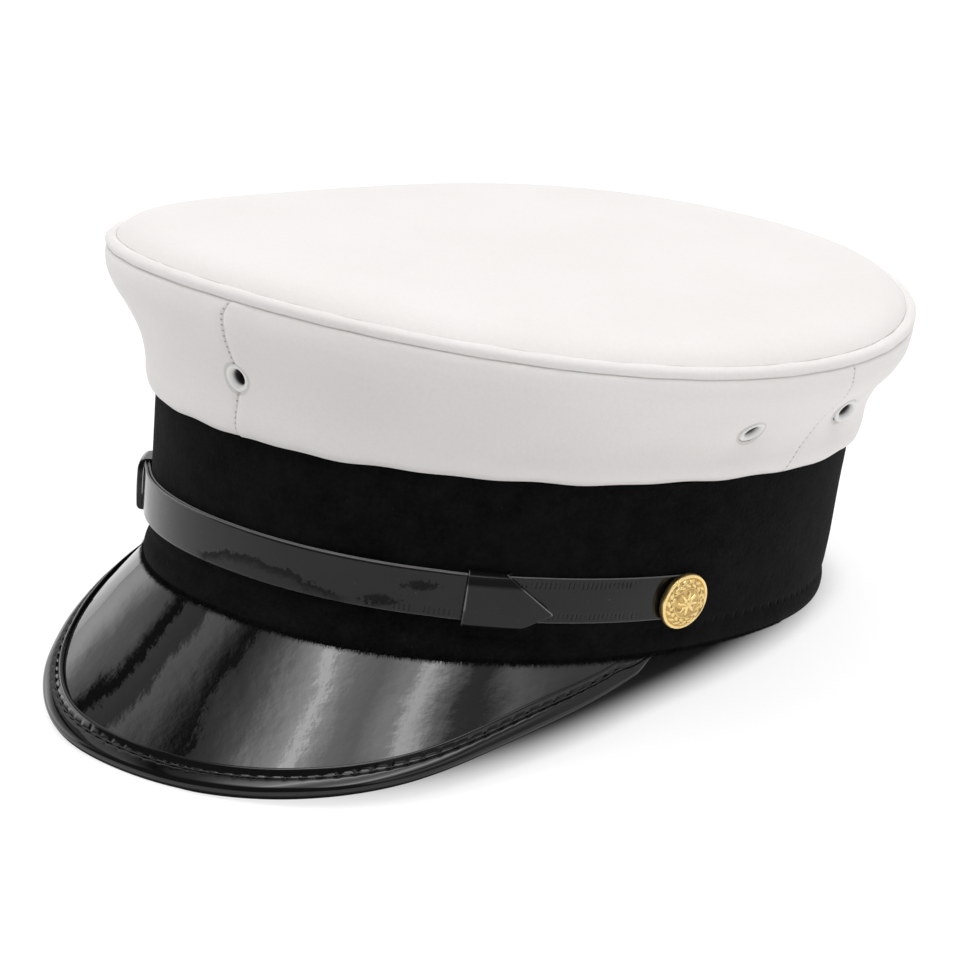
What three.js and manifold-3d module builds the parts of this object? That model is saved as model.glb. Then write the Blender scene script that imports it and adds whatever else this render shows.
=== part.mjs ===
import * as THREE from 'three';
import { mergeVertices } from 'three/addons/utils/BufferGeometryUtils.js';
import Module from 'manifold-3d';

// Bell crown cap: a white leatherette crown that flares up from a black felt band to a
// piped top, with a patent visor, a two-piece patent strap, two gilt buttons and five eyelets.
// Millimetres. The front is -Y, the wearer's left is +X, and the cap rests on Z = 0.
// Inside the cap group Z = 0 is the plane of the band's lower edge.

// Driving dimensions
// Ovals have a half length front to back, a half width, and a squareness (2 is an ellipse)
const FIT_GAP = 0.3;
const BAND = { height: 47.5, wall: 2.5 };
const BAND_FOOT = { length: 103, width: 83.6, shift: 0, square: 2.18 };
const BAND_HEAD = { length: 104.2, width: 90.2, shift: 0, square: 2.05 };
const CROWN = { foot: 46.6, wall: 2, lean: 2.4, leanTurn: 48 };
const CROWN_FOOT = { length: 104.4, width: 90.5, shift: 0, square: 2.05 };
const CROWN_RIM = { length: 110, width: 106.9, shift: -4.1, square: 2.14 };
const PIPING = { radius: 1.7, height: 82, lean: 0.008, saddle: 0.0005 };
const TOP = { puff: 8.8, edgePower: 12, wall: 2 };
const SEAM = { side: 94, sweep: 4.6, front: 0 };
const EYELET = { hole: 2.2, barrel: 2.8, flange: 4.1, proud: 1.1, length: 3.6 };
const VISOR = { wall: 2, endTurn: 76 };
const VISOR_EDGE = { halfWidth: 84.5, back: 25.9, length: 111.7, drop: 36.4, sag: 0.9, square: 2.73 };
const BINDING = { wall: 0.7, lip: 6.5, bead: 0.5 };
const STRAP = { width: 12.5, wall: 1, seat: 0.3, height: 15.6, lean: -0.026 };
const KEEPER = { wall: 1, start: 41, end: 49, tip: 55.8, tipDrop: 1.6, halfHeight: 7.4, bulge: 0.2 };
const BUTTON = { radius: 7.6, rise: 3.4, shank: 1.6, turn: 79, height: 14.8, strapEnd: 83.5 };
const REST = { tilt: 9, flat: 0.4 };

// Swell of the felt band by height, at the front and at the back: soft lower edge that spreads
// over the visor, stitch groove, plain wall
const BAND_SWELL = [
  { rise: 0, front: 1.4, back: -0.4 },
  { rise: 3.5, front: 1.2, back: 0.2 },
  { rise: 7, front: -0.2, back: -0.4 },
  { rise: 11, front: 0, back: 0 },
  { rise: BAND.height, front: 0, back: 0 },
];

// Bell of the crown side: share of the way up, share of the flare from foot to rim, and swell
// of the padded rolls at its foot and below the piping
const BELL = [
  { up: 0, flare: 0, swell: 0.2 },
  { up: 0.05, flare: 0.03, swell: 1.2 },
  { up: 0.12, flare: 0.06, swell: 1.3 },
  { up: 0.22, flare: 0.11, swell: 0.9 },
  { up: 0.35, flare: 0.22, swell: 0.4 },
  { up: 0.48, flare: 0.4, swell: 0 },
  { up: 0.6, flare: 0.61, swell: 0 },
  { up: 0.72, flare: 0.81, swell: 0.4 },
  { up: 0.86, flare: 0.96, swell: 1 },
  { up: 0.95, flare: 1, swell: 0.9 },
  { up: 1, flare: 1, swell: 0.2 },
];

// Eyelets: turn from the front in degrees, and share of the way up the crown side
const EYELETS = [
  { name: 'eyelet_front', turn: 0, up: 0.42 },
  { name: 'eyelet_vent_left_1', turn: 83.5, up: 0.43 },
  { name: 'eyelet_vent_left_2', turn: 107, up: 0.43 },
  { name: 'eyelet_vent_right_1', turn: -83.5, up: 0.43 },
  { name: 'eyelet_vent_right_2', turn: -107, up: 0.43 },
];

const LEATHERETTE = { color: 0xe8e7e3, roughness: 0.5, metalness: 0 };
const FELT = { color: 0x121213, roughness: 0.95, metalness: 0 };
const PATENT = { color: 0x0c0c0e, roughness: 0.15, metalness: 0 };
const ENAMEL = { color: 0xdcdbd7, roughness: 0.4, metalness: 0 };
const GILT = { color: 0xc79a3e, roughness: 0.3, metalness: 1 };

const { lerp, degToRad, radToDeg, smoothstep } = THREE.MathUtils;
const UP = new THREE.Vector3(0, 0, 1);

// Solids from skins

// Closed wall between an outer and an inner skin, both functions of two shares, s round
// and t across. A round wall closes on itself in s; any other gets an end face at s 0 and 1.
function wall({ columns, rows, outer, inner, round = false }) {
  const points = [];
  const faces = [];
  const ring = 2 * (rows + 1);
  const last = round ? columns - 1 : columns;
  for (let i = 0; i <= last; i += 1) {
    for (let j = 0; j <= rows; j += 1) points.push(outer(i / columns, j / rows));
    for (let j = rows; j >= 0; j -= 1) points.push(inner(i / columns, j / rows));
  }
  for (let i = 0; i < columns; i += 1) {
    const here = i * ring;
    const next = round ? ((i + 1) % columns) * ring : here + ring;
    for (let j = 0; j < ring; j += 1) {
      const k = (j + 1) % ring;
      faces.push([here + j, next + j, next + k], [here + j, next + k, here + k]);
    }
  }
  if (!round) {
    const far = columns * ring;
    for (let j = 0; j < rows; j += 1) {
      const [a, b, c, d] = [j, j + 1, ring - 2 - j, ring - 1 - j];
      faces.push([a, b, c], [a, c, d]);
      faces.push([far + a, far + c, far + b], [far + a, far + d, far + c]);
    }
  }
  return solid(points, faces);
}

// Position-only geometry with shared corners merged, collapsed faces dropped, facing out
function solid(points, faces) {
  const loose = new THREE.BufferGeometry().setFromPoints(points);
  loose.setIndex(faces.flat());
  const merged = mergeVertices(loose, 1e-3);
  const index = merged.index.array;
  const kept = [];
  for (let f = 0; f < index.length; f += 3) {
    const [a, b, c] = [index[f], index[f + 1], index[f + 2]];
    if (a !== b && b !== c && c !== a) kept.push(a, b, c);
  }
  merged.setIndex(kept);
  if (volume(merged) < 0) merged.setIndex(kept.reverse());
  return merged;
}

// Closed profile turned about +Z, as one closed solid
function lathe(outline, segments) {
  const turned = new THREE.LatheGeometry([...outline, outline[0]], segments).rotateX(Math.PI / 2);
  const place = turned.attributes.position;
  const points = [];
  for (let i = 0; i < place.count; i += 1) {
    points.push(new THREE.Vector3().fromBufferAttribute(place, i));
  }
  const faces = [];
  const index = turned.index.array;
  for (let f = 0; f < index.length; f += 3) faces.push([index[f], index[f + 1], index[f + 2]]);
  return solid(points, faces);
}

// Signed volume of a closed geometry
function volume(geometry) {
  const place = geometry.attributes.position;
  const index = geometry.index.array;
  const [a, b, c] = [new THREE.Vector3(), new THREE.Vector3(), new THREE.Vector3()];
  let sum = 0;
  for (let f = 0; f < index.length; f += 3) {
    a.fromBufferAttribute(place, index[f]);
    b.fromBufferAttribute(place, index[f + 1]);
    c.fromBufferAttribute(place, index[f + 2]);
    sum += a.dot(b.cross(c)) / 6;
  }
  return sum;
}

// Point moved along the normal of a skin, worked out from two small steps on it
function offset(skin, s, t, distance) {
  const step = 1e-3;
  const along = skin(s + step, t).sub(skin(s - step, t));
  const low = Math.max(t - step, 0);
  const high = Math.min(t + step, 1);
  const across = skin(s, high).sub(skin(s, low));
  const normal = along.cross(across).normalize();
  return skin(s, t).addScaledVector(normal, distance);
}

// Value of a table's column at a place in another column, by straight lines between rows
function lookUp(table, key, place, column) {
  const after = table.findIndex((row) => row[key] >= place);
  const high = table[after < 0 ? table.length - 1 : Math.max(after, 1)];
  const low = table[table.indexOf(high) - 1];
  return lerp(low[column], high[column], (place - low[key]) / (high[key] - low[key]));
}

// Cuts and closed solids

const wasm = await Module();
wasm.setup();

function toManifold(geometry) {
  const bare = geometry.clone();
  bare.deleteAttribute('normal');
  bare.deleteAttribute('uv');
  const merged = mergeVertices(bare, 1e-4);
  const vertProperties = new Float32Array(merged.attributes.position.array);
  const triVerts = new Uint32Array(merged.index.array);
  return new wasm.Manifold(new wasm.Mesh({ numProp: 3, vertProperties, triVerts }));
}

function cut(geometry, tools) {
  let rest = toManifold(geometry);
  for (const tool of tools) rest = rest.subtract(toManifold(tool));
  const { vertProperties, triVerts } = rest.getMesh();
  const result = new THREE.BufferGeometry();
  result.setAttribute('position', new THREE.BufferAttribute(vertProperties, 3));
  result.setIndex(new THREE.BufferAttribute(triVerts, 1));
  return result;
}

// Ovals of the band and the crown

// Point of an oval; the turn is in radians from the front towards the wearer's left
function onOval(turn, { length, width, shift, square }, height) {
  const power = 2 / square;
  const side = Math.sin(turn);
  const front = Math.cos(turn);
  const x = width * Math.sign(side) * Math.abs(side) ** power;
  const y = shift - length * Math.sign(front) * Math.abs(front) ** power;
  return new THREE.Vector3(x, y, height);
}

function mixOvals(from, to, share) {
  const mixed = {};
  for (const key of Object.keys(from)) mixed[key] = lerp(from[key], to[key], share);
  return mixed;
}

function grow(oval, by) {
  return { ...oval, length: oval.length + by, width: oval.width + by };
}

// Point on the band's plain outer face, or a distance outside it
function onBand(turn, height, out = 0) {
  const oval = mixOvals(BAND_FOOT, BAND_HEAD, height / BAND.height);
  return onOval(turn, grow(oval, out), height);
}

// Height of the piping's centre line: a shallow saddle, low at the sides
function pipingHeight(turn) {
  const y = onOval(turn, CROWN_RIM, 0).y;
  return PIPING.height + PIPING.lean * y + PIPING.saddle * (y - CROWN_RIM.shift) ** 2;
}

// Height of the crown's foot: the cover sits a little higher at the wearer's front left
function footHeight(turn) {
  return CROWN.foot + CROWN.lean * Math.cos(turn - degToRad(CROWN.leanTurn));
}

// Point on the outer face of the crown side
function onBell(turn, up) {
  const flare = lookUp(BELL, 'up', up, 'flare');
  const swell = lookUp(BELL, 'up', up, 'swell');
  const rim = pipingHeight(turn) - PIPING.radius - FIT_GAP;
  const oval = grow(mixOvals(CROWN_FOOT, CROWN_RIM, flare), swell);
  return onOval(turn, oval, lerp(footHeight(turn), rim, up));
}

// How far the felt stands out from the band's plain face, at a row of the swell table
function feltSwell(turn, row) {
  return lerp(row.back, row.front, (1 + Math.cos(turn)) / 2);
}

// Outward normal of a face given as a function of turn and height
function facing(face, turn, height) {
  const step = 0.01;
  const along = face(turn + step, height).sub(face(turn - step, height));
  const upward = face(turn, height + step).sub(face(turn, height - step));
  return along.cross(upward).normalize();
}

// Scene helpers

const cap = new THREE.Group();

function piece(name, finish, geometry) {
  const mesh = new THREE.Mesh(geometry, new THREE.MeshStandardMaterial(finish));
  mesh.name = name;
  cap.add(mesh);
  return mesh;
}

// Round tool or piece along +Z, laid at a point with its axis along a direction
function laid(geometry, point, direction) {
  const turnTo = new THREE.Quaternion().setFromUnitVectors(UP, direction);
  return geometry.clone().applyQuaternion(turnTo).translate(point.x, point.y, point.z);
}

function drill(radius, point, direction, length) {
  const bit = new THREE.CylinderGeometry(radius, radius, length, 12).rotateX(Math.PI / 2);
  return laid(bit, point, direction);
}

// Table under the tilted cap, as a block in the cap's own frame
const restTurn = degToRad(REST.tilt);
const heel = onBand(Math.PI, 0, BAND_SWELL[0].back);
const tableHeight = heel.z * Math.cos(restTurn) - heel.y * Math.sin(restTurn) + REST.flat;
const table = new THREE.BoxGeometry(400, 400, 60)
  .translate(0, 0, tableHeight - 30)
  .rotateX(restTurn);

// Band: felt hoop, flattened where it rests at the back, with holes for the button shanks

const buttons = [
  { name: 'button_left', turn: degToRad(BUTTON.turn) },
  { name: 'button_right', turn: degToRad(-BUTTON.turn) },
];
for (const button of buttons) {
  button.seat = onBand(button.turn, BUTTON.height, STRAP.seat + STRAP.wall + FIT_GAP);
  button.axis = facing(onBand, button.turn, BUTTON.height);
  button.drill = drill(BUTTON.shank + FIT_GAP, button.seat, button.axis, 16);
}

function bandSkin(depth) {
  return (s, t) => {
    const turn = s * 2 * Math.PI;
    const row = BAND_SWELL[Math.round(t * (BAND_SWELL.length - 1))];
    const rise = row.rise < BAND.height ? row.rise : footHeight(turn) - FIT_GAP;
    return onBand(turn, rise, feltSwell(turn, row) - depth);
  };
}

const hoop = wall({
  columns: 66,
  rows: BAND_SWELL.length - 1,
  outer: bandSkin(0),
  inner: bandSkin(BAND.wall),
  round: true,
});
piece('band', FELT, cut(hoop, [table, ...buttons.map((button) => button.drill)]));

// Crown side: three panels with open seams, drilled for the eyelets

for (const eyelet of EYELETS) {
  const turn = degToRad(eyelet.turn);
  eyelet.seat = onBell(turn, eyelet.up);
  eyelet.axis = facing(onBell, turn, eyelet.up);
  eyelet.drill = drill(EYELET.barrel + FIT_GAP, eyelet.seat, eyelet.axis, 12);
}

// The rear seams lean back as they rise
function sideSeam(up) {
  return SEAM.side + SEAM.sweep * smoothstep(up, 0, 0.5);
}

// Panel between two seams, each a function that gives degrees at a share of the way up
function panel(name, columns, from, to) {
  const half = radToDeg(FIT_GAP / 2 / CROWN_FOOT.width);
  const rows = BELL.length - 1;
  const face = (s, up) => onBell(degToRad(lerp(from(up) + half, to(up) - half, s)), up);
  const upAt = (t) => BELL[Math.round(t * rows)].up;
  const sheet = wall({
    columns,
    rows,
    outer: (s, t) => face(s, upAt(t)),
    inner: (s, t) => offset(face, s, upAt(t), -CROWN.wall),
  });
  piece(name, LEATHERETTE, cut(sheet, EYELETS.map((eyelet) => eyelet.drill)));
}
panel('crown_front_left', 16, () => SEAM.front, sideSeam);
panel('crown_front_right', 16, (up) => -sideSeam(up), () => SEAM.front);
panel('crown_back', 28, sideSeam, (up) => 360 - sideSeam(up));

// Eyelets: flared ring with a funnel mouth and a barrel through the wall

const eyeletOutline = [
  { r: EYELET.hole, z: -EYELET.length + EYELET.proud },
  { r: EYELET.hole, z: 0 },
  { r: EYELET.hole + 0.9, z: EYELET.proud - 0.2 },
  { r: EYELET.flange - 0.6, z: EYELET.proud },
  { r: EYELET.flange, z: FIT_GAP + 0.3 },
  { r: EYELET.flange, z: FIT_GAP + 0.1 },
  { r: EYELET.barrel, z: FIT_GAP + 0.1 },
  { r: EYELET.barrel, z: -EYELET.length + EYELET.proud },
].map(({ r, z }) => new THREE.Vector2(r, z));

const eyeletRing = lathe(eyeletOutline, 12);
for (const eyelet of EYELETS) {
  piece(eyelet.name, ENAMEL, laid(eyeletRing, eyelet.seat, eyelet.axis));
}

// Piping: round welt on the rim

function pipingSkin(sign) {
  return (s, t) => {
    const turn = s * 2 * Math.PI;
    const roll = Math.PI * t;
    const out = PIPING.radius * Math.cos(roll);
    const height = pipingHeight(turn) + sign * PIPING.radius * Math.sin(roll);
    return onOval(turn, grow(CROWN_RIM, out), height);
  };
}
piece('crown_piping', LEATHERETTE, wall({
  columns: 60,
  rows: 4,
  outer: pipingSkin(1),
  inner: pipingSkin(-1),
  round: true,
}));

// Top: padded panel that rises steeply from the piping and then lies nearly level

const topOval = grow(CROWN_RIM, -PIPING.radius - FIT_GAP);
const topLevel = PIPING.height + PIPING.saddle * CROWN_RIM.length ** 2 / 2;

function topSkin(s, t) {
  const turn = s * 2 * Math.PI;
  const share = Math.cos(t * Math.PI / 2);
  const rim = onOval(turn, { ...topOval, shift: 0 }, 0).multiplyScalar(share);
  const level = lerp(topLevel, pipingHeight(turn), share ** 2);
  return rim.add(new THREE.Vector3(0, topOval.shift, level + TOP.puff * (1 - share ** TOP.edgePower)));
}
piece('crown_top', LEATHERETTE, wall({
  columns: 56,
  rows: 5,
  outer: topSkin,
  inner: (s, t) => topSkin(s, t).addScaledVector(UP, -TOP.wall),
  round: true,
}));

// Visor: shell from a flange under the band to its bound edge

class VisorEdge extends THREE.Curve {
  getPoint(share, point = new THREE.Vector3()) {
    const turn = (share - 0.5) * Math.PI;
    const reach = Math.max(Math.cos(turn), 0) ** (2 / VISOR_EDGE.square);
    const x = VISOR_EDGE.halfWidth * Math.sin(turn);
    const y = -VISOR_EDGE.back - VISOR_EDGE.length * reach;
    return point.set(x, y, -FIT_GAP - VISOR_EDGE.drop * reach ** VISOR_EDGE.sag);
  }
}
const visorEdge = new VisorEdge();

// Frame of one rule line of the visor: root under the band's face, bound edge, and directions
function visorRule(s) {
  const turn = degToRad(lerp(-VISOR.endTurn, VISOR.endTurn, s));
  const root = onBand(turn, 0, feltSwell(turn, BAND_SWELL[0])).setZ(-FIT_GAP);
  const flange = onBand(turn, 0, -BAND.wall).setZ(-FIT_GAP);
  const edge = visorEdge.getPointAt(s);
  const out = edge.clone().sub(root);
  const length = out.length();
  out.divideScalar(length);
  const normal = visorEdge.getTangentAt(s).cross(out).normalize();
  if (normal.z < 0) normal.negate();
  return { root, flange, edge, out, normal, length };
}

const PLATE_END = BINDING.bead + BINDING.wall + 2 * FIT_GAP;
const VISOR_ROWS = 6;

function visorSkin(depth) {
  return (s, t) => {
    const { root, flange, edge, out, normal } = visorRule(s);
    const row = Math.round(t * VISOR_ROWS);
    if (row === 0) return flange.addScaledVector(UP, -depth);
    const end = edge.addScaledVector(out, -PLATE_END);
    const bend = normal.clone().add(UP).normalize();
    const down = row === 1 ? bend : normal;
    return root.lerp(end, (row - 1) / (VISOR_ROWS - 1)).addScaledVector(down, -depth);
  };
}
piece('visor', PATENT, wall({
  columns: 34,
  rows: VISOR_ROWS,
  outer: visorSkin(0),
  inner: visorSkin(VISOR.wall),
}));

// Binding: folded strip round the visor's edge, a U of constant wall

function bindingSkin(depth) {
  return (s, t) => {
    const { edge, out, normal, length } = visorRule(s);
    const lip = Math.min(BINDING.lip, length - 1);
    const high = FIT_GAP + BINDING.wall - depth;
    const low = -VISOR.wall - FIT_GAP - BINDING.wall + depth;
    const section = [
      { d: -lip, n: high },
      { d: -1.2 - depth, n: high },
      { d: -depth - 0.3, n: lerp(high, low, 0.22) },
      { d: -depth, n: lerp(high, low, 0.5) },
      { d: -depth - 0.3, n: lerp(high, low, 0.78) },
      { d: -1.2 - depth, n: low },
      { d: -lip, n: low },
    ];
    const { d, n } = section[Math.round(t * (section.length - 1))];
    return edge.addScaledVector(out, d).addScaledVector(normal, n);
  };
}
const bindingFold = wall({
  columns: 36,
  rows: 6,
  outer: bindingSkin(0),
  inner: bindingSkin(BINDING.wall),
});
piece('visor_binding', PATENT, cut(bindingFold, [table]));

// Half straps: flat strips laid on the band, lifted where a keeper's back passes under them

function strapLift(turn) {
  const middle = degToRad((KEEPER.start + KEEPER.end) / 2);
  const away = Math.abs(Math.abs(turn) - middle);
  return (KEEPER.wall + FIT_GAP) * (1 - smoothstep(away, degToRad(6), degToRad(14)));
}

function onStrap(turn, across, out) {
  const height = STRAP.height + STRAP.lean * onBand(turn, STRAP.height).y + across;
  return onBand(turn, height, out);
}

// Half width of a strip that ends in a half circle at a given turn
function roundedHalf(turn, end) {
  const half = STRAP.width / 2;
  const left = Math.abs(end - turn) * BAND_FOOT.width;
  return left >= half ? half : Math.sqrt(Math.max(half ** 2 - (half - left) ** 2, 0.4));
}

// Strip from its round button end to its square end; layer(turn) is its back above the band
function halfStrap(name, buttonTurn, squareTurn, layer) {
  const skin = (depth) => (s, t) => {
    const turn = lerp(buttonTurn, squareTurn, s ** 1.3);
    const half = roundedHalf(turn, buttonTurn);
    const out = STRAP.seat + strapLift(turn) + layer(turn) + depth;
    return onStrap(turn, lerp(-half, half, t), out);
  };
  const strip = wall({ columns: 44, rows: 1, outer: skin(STRAP.wall), inner: skin(0) });
  piece(name, PATENT, cut(strip, buttons.map((button) => button.drill)));
}

const strapEnd = degToRad(BUTTON.strapEnd);
const keeperMiddle = degToRad((KEEPER.start + KEEPER.end) / 2);
const overLayer = STRAP.wall + FIT_GAP;
halfStrap('strap_under', strapEnd, -keeperMiddle, () => 0);
halfStrap('strap_over', -strapEnd, keeperMiddle, (turn) => (
  overLayer * smoothstep(turn, degToRad(-KEEPER.tip - 14), degToRad(-KEEPER.tip))
));

// Keepers: flat sleeve round both half straps, with a pointed flap on its outer side

const sleeveBack = STRAP.seat;
const sleeveFront = sleeveBack + 2 * KEEPER.wall + 2 * STRAP.wall + 4 * FIT_GAP;

// Section of the sleeve as height across the strap and distance out, in matching order
function sleeveSection(depth) {
  const half = KEEPER.halfHeight - depth;
  const back = sleeveBack + depth;
  const front = sleeveFront - depth;
  const round = 1.4 - depth;
  const bow = front + KEEPER.bulge;
  return [
    { across: -half + round, out: back },
    { across: half - round, out: back },
    { across: half, out: back + round },
    { across: half, out: front - round },
    { across: half - round, out: front },
    { across: half / 2, out: lerp(front, bow, 0.8) },
    { across: -KEEPER.tipDrop, out: bow },
    { across: -half + round, out: front },
    { across: -half, out: front - round },
    { across: -half, out: back + round },
  ];
}

// End of the sleeve in degrees: square at the back, drawn out to a point in front
function sleeveEnd({ across, out }) {
  if (out < (sleeveBack + sleeveFront) / 2) return KEEPER.end;
  const reach = across > -KEEPER.tipDrop
    ? (KEEPER.halfHeight - across) / (KEEPER.halfHeight + KEEPER.tipDrop)
    : (KEEPER.halfHeight + across) / (KEEPER.halfHeight - KEEPER.tipDrop);
  return lerp(KEEPER.end, KEEPER.tip, reach);
}

function keeper(name, side) {
  const count = sleeveSection(0).length;
  const skin = (depth) => (s, t) => {
    const corner = Math.round(s * count) % count;
    const { across, out } = sleeveSection(depth)[corner];
    const end = sleeveEnd(sleeveSection(0)[corner]);
    const turn = side * degToRad(lerp(KEEPER.start, end, t));
    return onStrap(turn, across, out);
  };
  piece(name, PATENT, wall({
    columns: count,
    rows: 5,
    outer: skin(0),
    inner: skin(KEEPER.wall),
    round: true,
  }));
}
keeper('keeper_left', 1);
keeper('keeper_right', -1);

// Buttons: domed gilt face with a rim, and a shank that ends inside the band's wall

const buttonOutline = [
  { r: 0, z: -STRAP.wall - STRAP.seat - BAND.wall },
  { r: BUTTON.shank, z: -STRAP.wall - STRAP.seat - BAND.wall },
  { r: BUTTON.shank, z: 0 },
  { r: BUTTON.radius - 1.2, z: 0.2 },
  { r: BUTTON.radius, z: 1 },
  { r: BUTTON.radius, z: 1.7 },
  { r: BUTTON.radius - 0.5, z: 2.1 },
  { r: BUTTON.radius - 1.2, z: 1.9 },
  { r: BUTTON.radius - 3.2, z: lerp(1.9, BUTTON.rise, 0.7) },
  { r: 0, z: BUTTON.rise },
].map(({ r, z }) => new THREE.Vector2(r, z));

const buttonTurned = lathe(buttonOutline, 20);
for (const { name, seat, axis } of buttons) piece(name, GILT, laid(buttonTurned, seat, axis));

// Resting place: tilted back on the visor's edge and the heel of the band, centred on the origin

cap.rotation.x = -restTurn;
cap.updateMatrixWorld(true);
const box = new THREE.Box3().setFromObject(cap, true);
cap.position.set(0, -(box.min.y + box.max.y) / 2, -box.min.z);

const bellCrownCap = new THREE.Group();
bellCrownCap.add(cap);

export default bellCrownCap;
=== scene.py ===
import bmesh
import bpy
import numpy as np
from mathutils import Matrix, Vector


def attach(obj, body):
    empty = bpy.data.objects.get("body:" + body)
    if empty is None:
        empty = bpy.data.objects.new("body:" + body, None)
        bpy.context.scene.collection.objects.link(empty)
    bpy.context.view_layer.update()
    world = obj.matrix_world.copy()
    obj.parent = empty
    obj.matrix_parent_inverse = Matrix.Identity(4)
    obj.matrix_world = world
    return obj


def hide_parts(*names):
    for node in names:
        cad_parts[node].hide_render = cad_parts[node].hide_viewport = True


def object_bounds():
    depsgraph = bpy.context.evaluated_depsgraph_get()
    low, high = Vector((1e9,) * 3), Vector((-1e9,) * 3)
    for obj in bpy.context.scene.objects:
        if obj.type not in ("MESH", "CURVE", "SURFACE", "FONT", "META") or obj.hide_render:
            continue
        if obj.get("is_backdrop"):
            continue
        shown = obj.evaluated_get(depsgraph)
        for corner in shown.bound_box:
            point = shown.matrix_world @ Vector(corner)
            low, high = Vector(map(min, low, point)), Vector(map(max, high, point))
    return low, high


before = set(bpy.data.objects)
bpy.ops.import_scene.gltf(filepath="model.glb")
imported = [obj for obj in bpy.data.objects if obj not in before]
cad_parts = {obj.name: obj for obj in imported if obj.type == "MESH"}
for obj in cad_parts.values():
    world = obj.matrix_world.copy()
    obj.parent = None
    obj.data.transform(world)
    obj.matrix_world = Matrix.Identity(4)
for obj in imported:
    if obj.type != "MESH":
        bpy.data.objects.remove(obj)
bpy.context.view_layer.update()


# Band
# A hoop of black wool felt, about 47 mm high, sewn to the foot of the crown. Its lower edge is
# turned soft over the visor and held by a row of stitches, and it lies flat where the cap rests.

# Sizes are in mm, apart from what a finish reads, which is in metres
BAND_HEIGHT, BAND_WALL, BAND_CURL = 47.5, 2.5, 11
BAND_FOOT = dict(length=103, width=83.6, shift=0, square=2.18)
BAND_HEAD = dict(length=104.2, width=90.2, shift=0, square=2.05)
BAND_STITCH_RISE, BAND_STITCH_PITCH = 7.0, 0.0042
CROWN_SEAM, CROWN_SEAM_LEAN, CROWN_SEAM_HIGH = 46.6, 2.4, np.radians(48)
SEAM_GAP = 0.3
REAL_EDGE, SAME_POINT, NO_LENGTH = np.radians(55), 1e-7, 1e-8
CAP_TILT = np.radians(9)
CAP_PLACE = np.array([0, 10.6529, 15.6502])
UPRIGHT = np.array([0, 0, 1.0])


def all_round(count):
    """Even turns once round, as a column."""
    return np.linspace(0, 2 * np.pi, count, endpoint=False)[:, None]


def oval(turn, length, width, shift, square):
    """Rounded oval: sine and cosine of the turn from the front, each raised to 2 / squareness
    with its sign kept, times the half width and the half length."""
    side, front = np.sin(turn), np.cos(turn)
    power = 2 / square
    x = width * np.sign(side) * np.abs(side) ** power
    y = shift - length * np.sign(front) * np.abs(front) ** power
    return x, y


def grown(ring, out):
    """The same oval with a distance added all round."""
    return {**ring, "length": ring["length"] + out, "width": ring["width"] + out}


def between(low, high, share):
    """Straight mix of two ovals or of two numbers."""
    if isinstance(low, dict):
        return {key: low[key] + (high[key] - low[key]) * share for key in low}
    return low + (high - low) * share


def ease(value, low, high):
    """Smooth step from 0 at low to 1 at high: 3 t squared less 2 t cubed."""
    t = np.clip((value - low) / (high - low), 0, 1)
    return t * t * (3 - 2 * t)


def window(value, low, full, fade, high):
    """1 from full to fade, with a smooth step down to 0 at low and at high."""
    return ease(value, low, full) * (1 - ease(value, fade, high))


def unit(vectors):
    """Vectors divided by their lengths."""
    return vectors / np.linalg.norm(vectors, axis=-1, keepdims=True)


def fair(place, rows, column):
    """Fair curve through a table's rows: cubic between rows, with slopes that never overshoot."""
    x, y = np.array([row[0] for row in rows], float), np.array([row[column] for row in rows], float)
    step, rise = np.diff(x), np.diff(y) / np.diff(x)
    flat = rise[:-1] * rise[1:] <= 0
    middle = 2 * rise[:-1] * rise[1:] / np.where(flat, 1, rise[:-1] + rise[1:])
    slope = np.concatenate([[rise[0]], np.where(flat, 0, middle), [rise[-1]]])
    i = np.clip(np.searchsorted(x, place) - 1, 0, len(step) - 1)
    t = np.clip((place - x[i]) / step[i], 0, 1)
    s = 1 - t
    curve = s * s * (1 + 2 * t) * y[i] + t * t * (3 - 2 * t) * y[i + 1]
    return curve + step[i] * (s * s * t * slope[i] - t * t * s * slope[i + 1])


def on_band(turn, height, out=0.0):
    """Point outside the band's plain face: the oval between its foot and its head."""
    x, y = oval(turn, **grown(between(BAND_FOOT, BAND_HEAD, height / BAND_HEIGHT), out))
    return np.stack(np.broadcast_arrays(x, y, height), -1)


def foot_height(turn):
    """Height of the crown's foot: it sits 2.4 mm higher at the wearer's front left."""
    return CROWN_SEAM + CROWN_SEAM_LEAN * np.cos(turn - CROWN_SEAM_HIGH)


def at_rest(points):
    """From the cap's own frame in mm to the resting cap in metres: tilted back 9 degrees, moved,
    and pressed flat where it would go below the table."""
    x, y, z = np.moveaxis(np.asarray(points, float), -1, 0)
    c, s = np.cos(CAP_TILT), np.sin(CAP_TILT)
    tilted = np.stack([x, y * c + z * s, z * c - y * s], -1) + CAP_PLACE
    tilted[..., 2] = np.maximum(tilted[..., 2], 0)
    return tilted / 1000


def travel(points, axis):
    """Mean distance run along one direction of a grid of points, in metres, from 0."""
    steps = np.linalg.norm(np.diff(points, axis=axis), axis=-1).mean(axis=1 - axis)
    return np.concatenate([[0], np.cumsum(steps)]) / 1000


def walled(face, back):
    """Closed sections of a wall: each line of its face, then that line of its back in reverse."""
    return np.concatenate([face, back[:, ::-1]], 1)


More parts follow.
